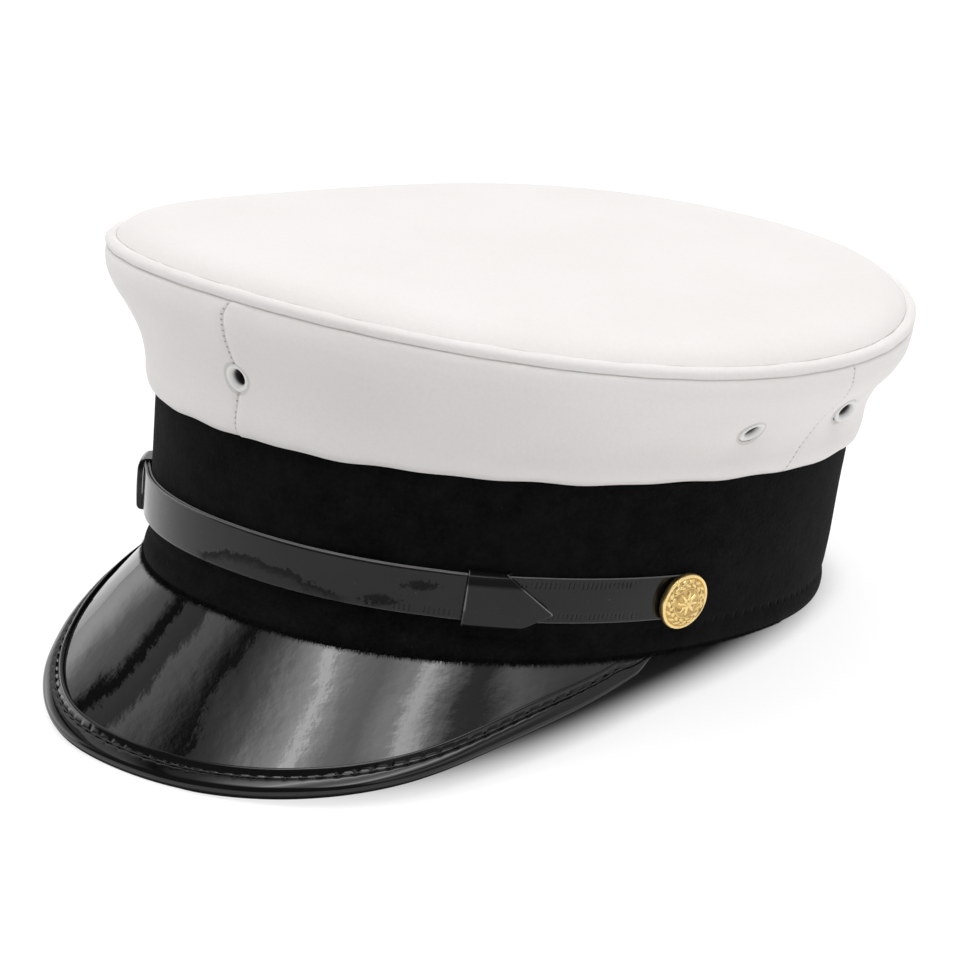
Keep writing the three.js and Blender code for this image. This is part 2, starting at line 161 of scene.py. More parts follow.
def sewn(name, sections, ring, finish, across=None, holes=None, marks=None):
    """Closed piece from closed sections carried along a path (path, section, xyz in mm). A ring
    closes on itself; any other gets two end faces. Holes are cells left out of both skins of a
    wall and walled round. Cells that shrink to a line are dropped, with the points that no face
    uses. The UV map is the distance along and across; marks are attributes."""
    count, size = sections.shape[:2]
    runs = count if ring else count - 1
    i, j = np.meshgrid(np.arange(runs), np.arange(size), indexing="ij")
    n, k = (i + 1) % count, (j + 1) % size
    quads = np.stack([i * size + j, n * size + j, n * size + k, i * size + k], -1)
    along = travel(np.concatenate([sections, sections[:1]]) if ring else sections, 0)
    if across is None:
        across = travel(np.concatenate([sections, sections[:, :1]], 1), 1)
    u = np.stack([along[i], along[i + 1], along[i + 1], along[i]], -1)
    v = np.stack([across[j], across[j], across[j + 1], across[j + 1]], -1)
    keep = np.ones((runs, size), bool)
    walls = [np.zeros((0, 4), int)]
    ends = [] if ring else [np.arange(size), count * size - 1 - np.arange(size)]
    if holes is not None:
        ends = []
        rows = size // 2
        keep[:, :rows - 1] &= ~holes
        keep[:, rows:size - 1] &= ~holes[:, ::-1]
        padded = np.pad(holes, 1, mode="edge")
        # Walls from the face to the back along each side of a hole's cells that meets solid cells
        for di, dj, corner_a, corner_b in ((1, 0, (1, 0), (1, 1)), (-1, 0, (0, 1), (0, 0)),
                                           (0, 1, (1, 1), (0, 1)), (0, -1, (0, 0), (1, 0))):
            beyond = np.roll(padded, (-di, -dj), (0, 1))[1:-1, 1:-1]
            cells = np.argwhere(holes & ~beyond)
            a, b = cells + corner_a, cells + corner_b
            walls.append(np.stack([a[:, 0] * size + a[:, 1], b[:, 0] * size + b[:, 1],
                                   b[:, 0] * size + size - 1 - b[:, 1],
                                   a[:, 0] * size + size - 1 - a[:, 1]], -1))
        # Cut ends of the wall, apart from where a hole runs out through them
        for end, hole in ((0, holes[0]), (count - 1, holes[-1])):
            j = np.flatnonzero(~hole)
            side = end * size + np.stack([j, j + 1, size - 2 - j, size - 1 - j], -1)
            walls.append(side if end == 0 else side[:, ::-1])
    walls = np.concatenate(walls)
    faces = np.concatenate([quads[keep], walls])
    maps = np.concatenate([np.stack([u, v], -1)[keep], np.zeros((len(walls), 4, 2))])
    place = at_rest(sections.reshape(-1, 3))
    sides = np.linalg.norm(place[faces] - place[np.roll(faces, -1, 1)], axis=-1)
    solid = (sides[:, 0] > SAME_POINT) | (sides[:, 2] > SAME_POINT)
    faces, maps = faces[solid], maps[solid]
    used = np.unique(faces)
    faces, place = np.searchsorted(used, faces), place[used]
    # Turned round if most faces look inwards
    corners = place[faces] - place.mean(0)
    normals = np.cross(corners[:, 2] - corners[:, 0], corners[:, 3] - corners[:, 1])
    if np.sum(normals * corners.mean(1)) < 0:
        faces, maps = faces[:, ::-1], maps[:, ::-1]
        ends = [end[::-1] for end in ends]
    mesh = bpy.data.meshes.new(name)
    mesh.from_pydata(place.tolist(), [], faces.tolist() + [end.tolist() for end in ends])
    layer = mesh.uv_layers.new(name="cut")
    flat = np.zeros((len(mesh.loops), 2), np.float32)
    flat[:faces.size] = maps.reshape(-1, 2)
    layer.data.foreach_set("uv", flat.ravel())
    for mark, values in (marks or {}).items():
        spread = np.broadcast_to(values, (count, size)).astype(np.float32).ravel()[used]
        mesh.attributes.new(mark, "FLOAT", "POINT").data.foreach_set("value", spread)
    return finished(name, mesh, finish)


def finished(name, mesh, finish):
    """Doubled points are welded, what collapsed is dropped, the faces are smoothed apart from real
    edges, and the piece is put in the scene."""
    work = bmesh.new()
    work.from_mesh(mesh)
    bmesh.ops.remove_doubles(work, verts=work.verts, dist=SAME_POINT)
    bmesh.ops.dissolve_degenerate(work, edges=work.edges, dist=NO_LENGTH)
    work.to_mesh(mesh)
    work.free()
    mesh.shade_smooth()
    mesh.set_sharp_from_angle(angle=REAL_EDGE)
    piece = bpy.data.objects.new(name, mesh)
    bpy.context.scene.collection.objects.link(piece)
    mesh.materials.append(finish)
    return piece


class Finish:
    """One value in a finish: it wraps a node socket, and arithmetic on it adds Math nodes."""

    def __init__(self, tree, socket=None):
        self.tree, self.socket = tree, socket

    def node(self, kind, settings=None, sockets=None, output=0):
        """A node of this type: its settings first, then the values or links of its sockets."""
        made = self.tree.nodes.new(kind)
        for key, value in (settings or {}).items():
            if key == "stops":
                ramp = made.color_ramp.elements
                ramp.remove(ramp[1])
                for spot, (place, colour) in enumerate(value):
                    stop = ramp.new(place) if spot else ramp[0]
                    stop.position, stop.color = place, colour
            else:
                setattr(made, key, value)
        self.fill(made, sockets or {})
        return Finish(self.tree, made.outputs[output])

    def fill(self, made, sockets):
        """Values or links of a node's sockets."""
        for key, value in sockets.items():
            if isinstance(value, Finish):
                self.tree.links.new(value.socket, made.inputs[key])
            else:
                made.inputs[key].default_value = value

    def math(self, operation, first, second=0.0):
        """Math node on two values."""
        return self.node("ShaderNodeMath", {"operation": operation}, {0: first, 1: second})

    def __add__(self, other):
        return self.math("ADD", self, other)

    def __sub__(self, other):
        return self.math("SUBTRACT", self, other)

    def __rsub__(self, other):
        return self.math("SUBTRACT", other, self)

    def __mul__(self, other):
        return self.math("MULTIPLY", self, other)

    def __truediv__(self, other):
        return self.math("DIVIDE", self, other)

    __radd__, __rmul__ = __add__, __mul__

    def mark(self, name):
        """One of the piece's own marks."""
        return self.node("ShaderNodeAttribute", {"attribute_name": name}, None, "Fac")

    def part(self, vector, axis):
        """One of the three parts of a vector."""
        return self.node("ShaderNodeSeparateXYZ", None, {0: vector}, axis)

    def beat(self, place, pitch):
        """Zigzag of a place, from 0 up to 1 and back in each pitch."""
        return self.math("PINGPONG", place, pitch / 2) / (pitch / 2)

    def spread(self, low, high, to_low=0.0, to_high=1.0):
        """Smooth step of this value from one range to another."""
        return self.node("ShaderNodeMapRange", {"interpolation_type": "SMOOTHSTEP"},
                         {"Value": self, "From Min": low, "From Max": high,
                          "To Min": to_low, "To Max": to_high})

    def noise(self, where, scale, detail=3.0, rough=0.5):
        """Cloudy noise with so many lumps to the metre."""
        return self.node("ShaderNodeTexNoise", None,
                         {"Vector": where, "Scale": scale, "Detail": detail, "Roughness": rough})

    def mix(self, share, first, second):
        """Mix of two colours."""
        return self.node("ShaderNodeMix", {"data_type": "RGBA"}, {0: share, 6: first, 7: second}, 2)

    def bump(self, height, distance, strength=1.0, before=None):
        """Normal from a height in shares of a distance in metres."""
        sockets = {"Height": height, "Distance": distance, "Strength": strength}
        if before is not None:
            sockets["Normal"] = before
        return self.node("ShaderNodeBump", None, sockets)


def new_finish(name):
    """Empty node material: its value maker, its Principled shader and its Object coordinates."""
    material = bpy.data.materials.new(name)
    material.use_nodes = True
    make = Finish(material.node_tree)
    where = make.node("ShaderNodeTexCoord", None, None, "Object")
    return material, make, make.tree.nodes["Principled BSDF"], where


felt, make, shader, where = new_finish("felt_black")
cut = make.node("ShaderNodeUVMap", {"uv_map": "cut"})
along, across = make.part(cut, 0), make.part(cut, 1)
nap = make.noise(where, 900, 4, 0.65)
tufts = make.noise(where, 160, 3, 0.6)
worn = make.noise(where, 26, 2, 0.5)
wisps = make.noise(where, 2400, 3, 0.7)
lint = make.noise(where, 1300, 0, 0.5).spread(0.82, 0.86)
stitch = make.beat(along, BAND_STITCH_PITCH)
on_line = make.math("ABSOLUTE", across - (BAND_STITCH_RISE / 1000)).spread(0.0004, 0.0013, 1.0, 0.0)
dimple = on_line * stitch.spread(0.5, 0.95) * make.mark("heel")
tone = nap * 0.4 + tufts * 0.35 + worn * 0.25
colour = make.mix(tone.spread(0.3, 0.75), (0.0008, 0.0009, 0.0010, 1), (0.0076, 0.0076, 0.0078, 1))
colour = make.mix(lint * 0.15, colour, (0.05, 0.05, 0.05, 1))
fuzz = make.bump(nap * 0.6 + wisps * 0.4, 0.0004, 0.8)
make.fill(shader, {
    "Base Color": colour, "Roughness": 0.95, "Specular IOR Level": 0.06,
    "Sheen Weight": 0.03, "Sheen Roughness": 0.4, "Sheen Tint": (0.75, 0.76, 0.8, 1),
    "Normal": make.bump(1 - dimple, 0.0008, 0.3, make.bump(tufts, 0.0006, 0.5, fuzz))})

# Rows of the band's face: rise in mm, and how far the felt stands out at the front and the back
BAND_SWELL = [(0, 0.9, -0.7), (0.8, 1.3, -0.2), (2, 1.4, 0.1), (3.5, 1.15, 0.2), (5.4, 0.4, 0.0),
              (7, -0.2, -0.4), (9, -0.05, -0.1), (BAND_CURL, 0, 0), (BAND_HEIGHT, 0, 0)]


def band_swell(turn, rise):
    """How far the felt stands out: from the back's row to the front's with the cosine of the turn."""
    return between(fair(rise, BAND_SWELL, 2), fair(rise, BAND_SWELL, 1), (1 + np.cos(turn)) / 2)


# The rows above the curled edge close up or spread to meet the crown's foot, over soft ripples
turn = all_round(540)
rise = np.concatenate([np.linspace(0, BAND_CURL, 23), np.linspace(BAND_CURL + 1, BAND_HEIGHT, 25)])[None]
upper = (rise - BAND_CURL) / (BAND_HEIGHT - BAND_CURL)
height = np.where(upper <= 0, rise, between(BAND_CURL, foot_height(turn) - SEAM_GAP, upper))
ripple = 0.16 * np.sin(9 * turn + 0.6) * np.sin(rise / 11) + 0.1 * np.sin(17 * turn + rise / 7)
outer = on_band(turn, height, band_swell(turn, rise) + ripple * window(rise, 9, 20, 34, 44))
inner = on_band(turn, height, -BAND_WALL)
face_rows = np.concatenate([rise[0], rise[0][::-1], rise[0][:1]]) / 1000

# The stitches show behind the visor: turn from the front, in radians, where they start and are full
HEEL_START, HEEL_FULL = 1.1, 1.5
from_front = np.abs((turn + np.pi) % (2 * np.pi) - np.pi)
band = sewn("felt_band", walled(outer, inner), True, felt, across=face_rows,
            marks={"heel": ease(from_front, HEEL_START, HEEL_FULL)})
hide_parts("band")
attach(band, "root")

# Loose fibres that stand off the lower edge over the visor: thin three-sided spikes, each from a
# root on the felt to a tip that leans out, down along the visor and to one side by a random amount
FIBRES, FIBRE_LENGTH, FIBRE_GIRTH = 15000, 1.7, 0.09
FIBRE_FADE, FIBRE_REACH = np.radians(75), np.radians(105)
draw = np.random.default_rng(7)
turn = draw.uniform(-FIBRE_REACH, FIBRE_REACH, (FIBRES, 1))
rise = draw.uniform(0.0, 1.3, (FIBRES, 1))
stand = band_swell(turn, rise)
root = on_band(turn, rise, stand - 0.15)[:, 0]
full = 1 - ease(np.abs(turn), FIBRE_FADE, FIBRE_REACH)
reach = FIBRE_LENGTH * full * draw.uniform(0.1, 1.0, (FIBRES, 1)) ** 1.6
aside = draw.normal(0, 0.007, (FIBRES, 1))
drop = -0.1 - reach * draw.uniform(0.1, 0.9, (FIBRES, 1))
tip = on_band(turn + aside, drop, stand + reach)[:, 0]
third = np.radians([0, 120, 240])[None, :, None]
run = unit(on_band(turn + 0.01, rise, stand)[:, 0] - root)[:, None]
foot = root[:, None] + FIBRE_GIRTH * (np.cos(third) * run + np.sin(third) * UPRIGHT)
first = 4 * np.arange(FIBRES)[:, None, None]
spike = first + np.array([[0, 2, 1], [0, 1, 3], [1, 2, 3], [2, 0, 3]])
mesh = bpy.data.meshes.new("felt_fibres")
points = at_rest(np.concatenate([foot, tip[:, None]], 1)).reshape(-1, 3)
mesh.from_pydata(points.tolist(), [], spike.reshape(-1, 3).tolist())
fibres = finished("felt_fibres", mesh, felt)
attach(fibres, "root")


# Crown side
# Three panels of white grained leatherette on a dark woven backing, cut to a bell, padded at
# the foot and under the piping. They meet in a lapped, stitched front seam and two rear seams.

CROWN_WALL = 2.0
CROWN_FOOT = dict(length=104.4, width=90.5, shift=0, square=2.05)
CROWN_RIM = dict(length=110, width=106.9, shift=-4.1, square=2.14)
RIM_LEVEL, RIM_SLOPE, RIM_SADDLE = 82, 0.008, 0.0005
PIPING_RADIUS, PIPING_TUCK = 1.7, 0.4
SEAM_STITCH_PITCH, SEAM_STITCH_SET = 0.0014, 0.0005

# Turn and lean of the seams in degrees, and the radius and height by which places on a panel are
# measured in mm
REAR_SEAM, REAR_SEAM_LEAN, REAR_SEAM_RETURN, FRONT_SEAM_LEAN = 94, 4.6, 1.5, 1.0
PANEL_REACH, PANEL_RISE, PANEL_ROWS = 98.0, 36.0, 72

# Cells cut out at an eyelet, how far the hole is pushed open and over what reach, and the dent
EYELET_CUT, EYELET_HOLE, EYELET_EASE = 1.2, 3.1, 8.0
EYELET_DENT, EYELET_DENT_HALF = 1.2, 7.0

# Distance that marks no seam or eyelet near by, and a panel's height as its finish reads it
FAR_AWAY, RISE_MARK = 90.0, 0.0355

# Rows of the bell: share of the way up, share of the flare, and swell of the padded rolls in mm
BELL = [(0, 0, 0.3), (0.02, 0.01, 1.2), (0.05, 0.03, 1.8), (0.12, 0.06, 2.1), (0.22, 0.11, 1.8),
        (0.35, 0.22, 1.4), (0.48, 0.41, 1.0), (0.6, 0.63, 0.9), (0.72, 0.84, 1.2), (0.86, 0.97, 1.6),
        (0.95, 1, 1.5), (0.985, 1, 1.1), (1, 1, 0.3)]

# Name, turn from the front in degrees, share of the way up, size, and how far the cloth and the
# ring are tilted up and round, as slopes
EYELETS = [("eyelet_front", 0, 0.42, 1, 0, 0), ("eyelet_vent_left_1", 83.5, 0.43, 0.93, -0.09, 0),
           ("eyelet_vent_left_2", 107, 0.43, 0.93, 0.08, -0.3),
           ("eyelet_vent_right_1", -83.5, 0.43, 0.93, -0.09, 0),
           ("eyelet_vent_right_2", -107, 0.43, 0.93, 0.08, 0.3)]

# Soft waves where the rim has lost its shape: place and half width in degrees, and height in mm
RIM_WAVES = [(-96, 30, -1.7), (136, 26, 1.3)]


def away_from(place, turn):
    """Degrees from a place to a turn, by the shorter way round."""
    return (np.degrees(turn) - place + 180) % 360 - 180


def piping_height(turn):
    """Height of the piping's centre line: a shallow saddle, low at the sides, with the rim's waves."""
    y = oval(turn, **CROWN_RIM)[1]
    level = RIM_LEVEL + RIM_SLOPE * y + RIM_SADDLE * (y - CROWN_RIM["shift"]) ** 2
    for place, half, height in RIM_WAVES:
        level = level + height * np.exp(-(away_from(place, turn) / half) ** 2)
    return level


def on_bell(turn, up, out=0.0):
    """Point of the crown side: the oval between foot and rim at the bell's flare, with its swell,
    at a height between the crown's foot and a seam tucked into the piping."""
    ring = between(CROWN_FOOT, CROWN_RIM, fair(up, BELL, 1))
    x, y = oval(turn, **grown(ring, fair(up, BELL, 2) + out))
    rim = piping_height(turn) - PIPING_RADIUS + PIPING_TUCK
    return np.stack(np.broadcast_arrays(x, y, between(foot_height(turn), rim, up)), -1)


def facing(points):
    """Unit normals of a grid of points, from central differences along and across it."""
    return unit(np.cross(np.gradient(points, axis=0), np.gradient(points, axis=1)))


def side_seam(up):
    """Rear seam in degrees from the front: it leans back over the lower half, then a little forward."""
    return REAR_SEAM + REAR_SEAM_LEAN * ease(up, 0, 0.5) - REAR_SEAM_RETURN * ease(up, 0.6, 1)


def front_seam(up):
    """Front seam in degrees from the front: upright, and drawn to one side under the piping."""
    return FRONT_SEAM_LEAN * ease(up, 0.88, 1)


leatherette, make, shader, where = new_finish("leatherette_white")
seam, rise_mark = make.mark("seam"), make.mark("rise")
pebble = make.node("ShaderNodeTexVoronoi", {"feature": "SMOOTH_F1"},
                   {"Vector": where, "Scale": 950, "Smoothness": 0.6})
grain = make.noise(where, 1700, 3, 0.6)
handling = make.noise(where, 18, 3, 0.55)
shade = make.noise(where, 55, 2, 0.5)
pitch = make.beat(rise_mark, SEAM_STITCH_PITCH)
finer = make.part(where, 1).spread(-0.06, 0.0, 1.0, 0.55)
needle_line = (make.math("ABSOLUTE", seam - SEAM_STITCH_SET) * finer).spread(0.00006, 0.00024, 1.0, 0.0)
needle = needle_line * pitch.spread(0.6, 0.9) * make.noise(where, 700, 1, 0.5).spread(0.25, 0.55, 0.4, 1.0)
thread_line = seam.spread(0.0003, 0.0011, 1.0, 0.0)
# Painted shade with some grime: a dark ring round each eyelet's flange, where the flange stands over the
# cloth
ring_grime_and_shade = make.mark("eyelet").spread(0.0041, 0.0045, 1.0, 0.0)
# Painted shade along the creases each side of the piping, where a panel reaches the top of its rise mark,
# broken up by noise
crease_shade = rise_mark.spread(0.0350, 0.0359) * make.noise(where, 240, 3, 0.6).spread(0.3, 0.6, 0.35, 1.0)
white = make.mix(handling.spread(0.3, 0.7), (0.770, 0.742, 0.730, 1), (0.790, 0.766, 0.755, 1))
white = make.mix(pebble.spread(0.25, 0.75) * 0.06 + shade * 0.03, white, (0.58, 0.565, 0.545, 1))
white = make.mix(needle * 0.5 + thread_line * 0.12, white, (0.15, 0.14, 0.13, 1))
# Brown-grey mix: grime and painted shade round the eyelets, painted shade in the creases
white = make.mix(ring_grime_and_shade * 0.25 + crease_shade * 0.6, white, (0.24, 0.21, 0.18, 1))
white = make.mix(make.mark("back"), white, (0.02, 0.02, 0.02, 1))
hide = make.bump(1 - pebble * 0.7 + grain * 0.5, 0.00012, 0.4)
make.fill(shader, {
    "Base Color": white, "Roughness": handling.spread(0.3, 0.7, 0.44, 0.52) + grain * 0.06,
    "Specular IOR Level": 0.32, "Sheen Weight": 0.04, "Sheen Roughness": 0.5,
    "Normal": make.bump(1 - needle, 0.0005, 0.8, hide)})


def crown_panel(name, first_seam, second_seam, columns, pulls, stitched, laps):
    """Wall of the bell between two seams, each a function of the share of the way up. The face
    rolls up a little and then turns in towards each seam as far as its thread pulls, lies in soft
    waves with puckers at the foot, and dips round each eyelet, where a hole is left through the
    wall. A lapped edge stands over the other panel; stitched says which edges show needle holes."""
    share = np.linspace(0, 1, columns)
    share = share - 0.3 * np.sin(2 * np.pi * share) / (2 * np.pi)
    even = np.linspace(0, 1, PANEL_ROWS)
    up = between(even, 0.5 - 0.5 * np.cos(np.pi * even), 0.55)[None]
    turn = np.radians(between(first_seam(up), second_seam(up), share[:, None]))
    none, far = np.zeros_like(turn), np.full_like(turn, FAR_AWAY)
    move_x, move_y, dent, nearest = none.copy(), none.copy(), none.copy(), far
    holes = np.zeros((columns - 1, PANEL_ROWS - 1), bool)
    for _, place, level, _, _, round_tilt in EYELETS:
        dx = np.radians(away_from(place, turn)) * PANEL_REACH
        dy = (up - level) * PANEL_RISE + none
        away = np.hypot(dx, dy)
        middle = (away[:-1, :-1] + away[1:, :-1] + away[:-1, 1:] + away[1:, 1:]) / 4
        holes |= middle < EYELET_CUT
        push = np.where(away < EYELET_EASE, EYELET_HOLE * (1 - away / EYELET_EASE) ** 2, 0)
        move_x += push * dx / np.maximum(away, 0.05)
        move_y += push * dy / np.maximum(away, 0.05)
        dent += (EYELET_DENT + round_tilt * dx) * np.exp(-(away / EYELET_DENT_HALF) ** 2)
        nearest = np.minimum(nearest, away + push)
    turn, up = turn + move_x / PANEL_REACH, np.clip(up + move_y / PANEL_RISE, 0, 1)
    from_first = (np.degrees(turn) - first_seam(up)) * np.radians(1) * PANEL_REACH
    from_second = (second_seam(up) - np.degrees(turn)) * np.radians(1) * PANEL_REACH
    roll, stitches, lap = none, far, none
    for edge, pull, sewn_here in zip((from_first, from_second), pulls, stitched):
        rolled, sunk = np.exp(-((edge - 3.0) / 2.6) ** 2), np.exp(-(edge / 0.8) ** 2)
        roll = roll + pull * (0.45 * rolled - 0.75 * sunk)
        stitches = np.minimum(stitches, edge) if sewn_here else stitches
    if laps:
        lap = 0.75 * np.exp(-(from_first / 3.4) ** 2) * (1 - ease(-from_first, -0.35, 0.1))
    waves = 0.35 * np.sin(5 * turn + 1.1) * np.sin(np.pi * up) + 0.16 * np.sin(11 * turn + 6 * up)
    waves = waves + 0.10 * np.sin(23 * turn - 9 * up + 0.4) * np.sin(np.pi * up)
    outer = on_bell(turn, up, (waves + roll) * window(up, 0.03, 0.2, 0.88, 0.98) - dent + lap)
    pucker = 0.3 * np.sin(13 * turn + 0.8) * np.sin(4 * turn + 0.3) + 0.15 * np.sin(29 * turn + 1.3)
    outer[..., 2] += pucker * (1 - ease(up, 0, 0.12))
    plain = on_bell(turn, up)
    inner = plain - CROWN_WALL * facing(plain)
    panel = sewn(name + "_cover", walled(outer, inner), False, leatherette, holes=holes, marks={
        "back": walled(none, none + 1), "rise": walled(up, up) * RISE_MARK,
        "seam": walled(stitches, far) / 1000, "eyelet": walled(nearest, far) / 1000})
    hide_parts(name)
    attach(panel, "root")


# Panels: name, first seam, second seam, columns, pull and needle holes at the two seams, lapped edge
for panel in (
        ("crown_front_left", front_seam, side_seam, 200, (0.7, 0.12), (False, True), True),
        ("crown_front_right", lambda up: -side_seam(up), front_seam, 200, (0.12, 0.7), (True, True), False),
        ("crown_back", side_seam, lambda up: 360 - side_seam(up), 300,
         (0.12, 0.12), (False, False), False)):
    crown_panel(*panel)


# Eyelets
# Pressed metal rings, enamelled white, with a funnel mouth rolled over the front of the cloth
# and a barrel clinched behind it: one at the front for a badge, two vents on each side.

enamel, make, shader, where = new_finish("eyelet_white")
chips = make.noise(where, 500, 4, 0.6)
coat = make.noise(where, 90, 2, 0.5)
paint = make.mix(coat.spread(0.3, 0.7), (0.76, 0.75, 0.74, 1), (0.82, 0.815, 0.81, 1))
paint = make.mix(chips.spread(0.68, 0.74) * 0.4, paint, (0.52, 0.51, 0.50, 1))
# Painted shade: the enamel turns near black deep in the bore, by the depth mark
paint = make.mix(make.mark("depth").spread(0.0002, 0.0015) * 0.92, paint, (0.03, 0.03, 0.03, 1))
make.fill(shader, {
    "Base Color": paint, "Roughness": coat.spread(0.3, 0.7, 0.28, 0.38),
    "Specular IOR Level": 0.5, "Coat Weight": 0.2, "Coat Roughness": 0.2,
    "Normal": make.bump(coat, 0.0003, 0.4)})

# Turned section of an eyelet: radius and height above the cloth, and how deep it sits in the cloth
EYELET_SINK = 0.75
EYELET_SECTION = [(2.15, -3.0), (2.15, -1.6), (2.18, -0.8), (2.3, -0.3), (2.6, 0.15), (3.0, 0.42),
                  (3.35, 0.52), (3.7, 0.48), (3.98, 0.3), (4.1, 0.05), (4.1, -0.3), (3.9, -0.5),
                  (2.9, -0.5), (2.75, -0.9), (2.75, -2.2), (3.3, -2.5), (3.9, -2.75), (3.95, -3.1),
                  (3.3, -3.25), (2.4, -3.25)]


def seat_on(surface, turn, place):
    """Point of a surface, its normal and its direction round, from three points each way."""
    near = np.array([-0.01, 0, 0.01])
    patch = surface(turn + near[:, None], place + near[None])
    return patch[1, 1], facing(patch)[1, 1], unit(patch[2, 1] - patch[0, 1])


def turned(angle, radius, height, seat, axis):
    """Radii and heights turned about an axis at a seat: the seat, a radius along the spoke at each
    angle and a height along the axis, as (angle, section, xyz)."""
    across = unit(np.cross(UPRIGHT, axis))
    upward = np.cross(axis, across)
    spoke = np.cos(angle)[..., None] * across + np.sin(angle)[..., None] * upward
    return seat + radius[..., None] * spoke + height[..., None] * axis


angle = all_round(64)
radius, height = np.array(EYELET_SECTION).T[:, None]
for name, place, level, size, up_tilt, round_tilt in EYELETS:
    middle, normal, along = seat_on(on_bell, np.radians(place), level)
    axis = unit(normal + up_tilt * UPRIGHT + round_tilt * along)
    ring = turned(angle, size * radius, size * height, middle - EYELET_SINK * axis, axis)
    eyelet = sewn(name + "_ring", ring, True, enamel, marks={"depth": np.maximum(-height, 0) / 1000})
    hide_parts(name)
    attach(eyelet, "root")


# Piping
# A round cord covered in the same white leatherette and sewn into the seam between the crown's
# side and its top. It hides the stitches and stiffens the rim.

turn, roll = all_round(640), all_round(22).T
girth = PIPING_RADIUS * (1 + 0.025 * np.sin(31 * turn) + 0.02 * np.sin(47 * turn + 1))
x, y = oval(turn, **grown(CROWN_RIM, girth * np.cos(roll)))
welt = np.stack([x, y, piping_height(turn) + girth * np.sin(roll)], -1)

# Marks of a piece without seams, eyelets or painted shade in its creases
UNMARKED = {"back": 0.0, "seam": FAR_AWAY / 1000, "rise": 0.018, "eyelet": FAR_AWAY / 1000}
piping = sewn("piping_cord", welt, True, leatherette, marks=UNMARKED)
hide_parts("crown_piping")
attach(piping, "root")


# Crown top
# One panel of the same leatherette over thin padding. It rises steeply from the piping, turns
# over in a soft shoulder and lies nearly level.

TOP_PUFF, TOP_EDGE, TOP_INSET, TOP_POWER, TOP_WALL = 7.1, 1.1, 1.0, 28, 2.0
TOP_CREASE_START, TOP_CREASE_FULL = 0.991, 0.9975
turn = all_round(480)
share = np.cos(np.linspace(0, 1, 56) * np.pi / 2)[None]
x, y = oval(turn, **{**grown(CROWN_RIM, -TOP_INSET), "shift": 0})
x, y = x * share, y * share + CROWN_RIM["shift"]
middle = RIM_LEVEL + RIM_SADDLE * CROWN_RIM["length"] ** 2 / 2
level = between(middle, piping_height(turn), share ** 2)
level = level + TOP_EDGE + (TOP_PUFF - TOP_EDGE) * (1 - share ** TOP_POWER)
soft = 0.25 * np.sin(3 * turn + 0.5) * share + 0.12 * np.sin(7 * turn) * share ** 3
skin = np.stack([x, y, level + soft * (1 - share ** 6)], -1)
under = np.stack([x, y, level - TOP_WALL], -1)
# The top's last sliver by the piping is marked for painted shade in its creases
crease_shaded = ease(share, TOP_CREASE_START, TOP_CREASE_FULL)
top = sewn("crown_top_cover", walled(skin, under), True, leatherette, marks={
    **UNMARKED, "back": walled(0 * share, 0 * share + 1),
    "rise": UNMARKED["rise"] * (1 + walled(crease_shaded, 0 * share))})
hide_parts("crown_top")
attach(top, "root")


# Visor
# A stiff moulded shell of black patent leather, 2 mm thick. Its root is a flange sewn up under
# the band, and its face runs out and down to the bound edge with slight waves in the lacquer.

VISOR_WALL, VISOR_END_TURN, VISOR_TUCK, VISOR_TUCK_END, VISOR_SEAT = 2.0, 76, 1.0, 0.03, 0.02
VISOR_ROOT_BACK, VISOR_ROOT_FRONT, VISOR_FOLD, VISOR_SHORT = -0.4, 1.4, 0.06, 1.8
VISOR_EDGE = dict(half_width=84.5, back=25.9, length=111.7, drop=36.4, sag=0.9, square=2.73)

# Where the leather has lost its shape: share of the way along the edge, half width, distance in mm
BEND_RIGHT, BEND_FRONT, BEND_LEFT = (0.2, 0.1, 2.0), (0.4, 0.08, 2.0), (0.9, 0.08, 3.4)
VISOR_HOLLOW = (0.40, 0.06, 0.7)


def bent(share, place, half, far):
    """Soft bend: a distance times a bell curve of the share of the way along."""
    return far * np.exp(-((share - place) / half) ** 2)


def visor_edge(share):
    """Bound edge: half an oval seen from above, its height falling with a power of its reach, bent
    in a little on both sides and out before the front."""
    turn = (share - 0.5) * np.pi
    reach = np.maximum(np.cos(turn), 0) ** (2 / VISOR_EDGE["square"])
    x = VISOR_EDGE["half_width"] * np.sin(turn) + bent(share, *BEND_RIGHT) - bent(share, *BEND_LEFT)
    y = -VISOR_EDGE["back"] - VISOR_EDGE["length"] * reach - bent(share, *BEND_FRONT)
    return np.stack([x, y, -SEAM_GAP - VISOR_EDGE["drop"] * reach ** VISOR_EDGE["sag"]], -1)


def visor_rules(share):
    """Straight lines from the band's foot to points an even distance apart along the bound edge:
    root, flange, edge point, direction out, normal and length of each."""
    fine = visor_edge(np.linspace(0, 1, 4001))
    run = np.concatenate([[0], np.cumsum(np.linalg.norm(np.diff(fine, axis=0), axis=1))])
    edge = np.stack([np.interp(share * run[-1], run, fine[:, k]) for k in range(3)], -1)
    turn = np.radians(between(-VISOR_END_TURN, VISOR_END_TURN, share))
    swell = between(VISOR_ROOT_BACK, VISOR_ROOT_FRONT, (1 + np.cos(turn)) / 2)
    root, flange = on_band(turn, 0 * turn, swell), on_band(turn, 0 * turn, -BAND_WALL)
    root[:, 2] = flange[:, 2] = -VISOR_SEAT
    out = edge - root
    length = np.linalg.norm(out, axis=1, keepdims=True)
    out = out / length
    normal = unit(np.cross(np.gradient(edge, axis=0), out))
    return root, flange, edge, out, normal * np.sign(normal[:, 2:]), length


def tucked(share):
    """How far each end of the visor goes under the band: 1 at the end, 0 from a share of the edge on."""
    return 1 - ease(np.minimum(share, 1 - share), 0, VISOR_TUCK_END)


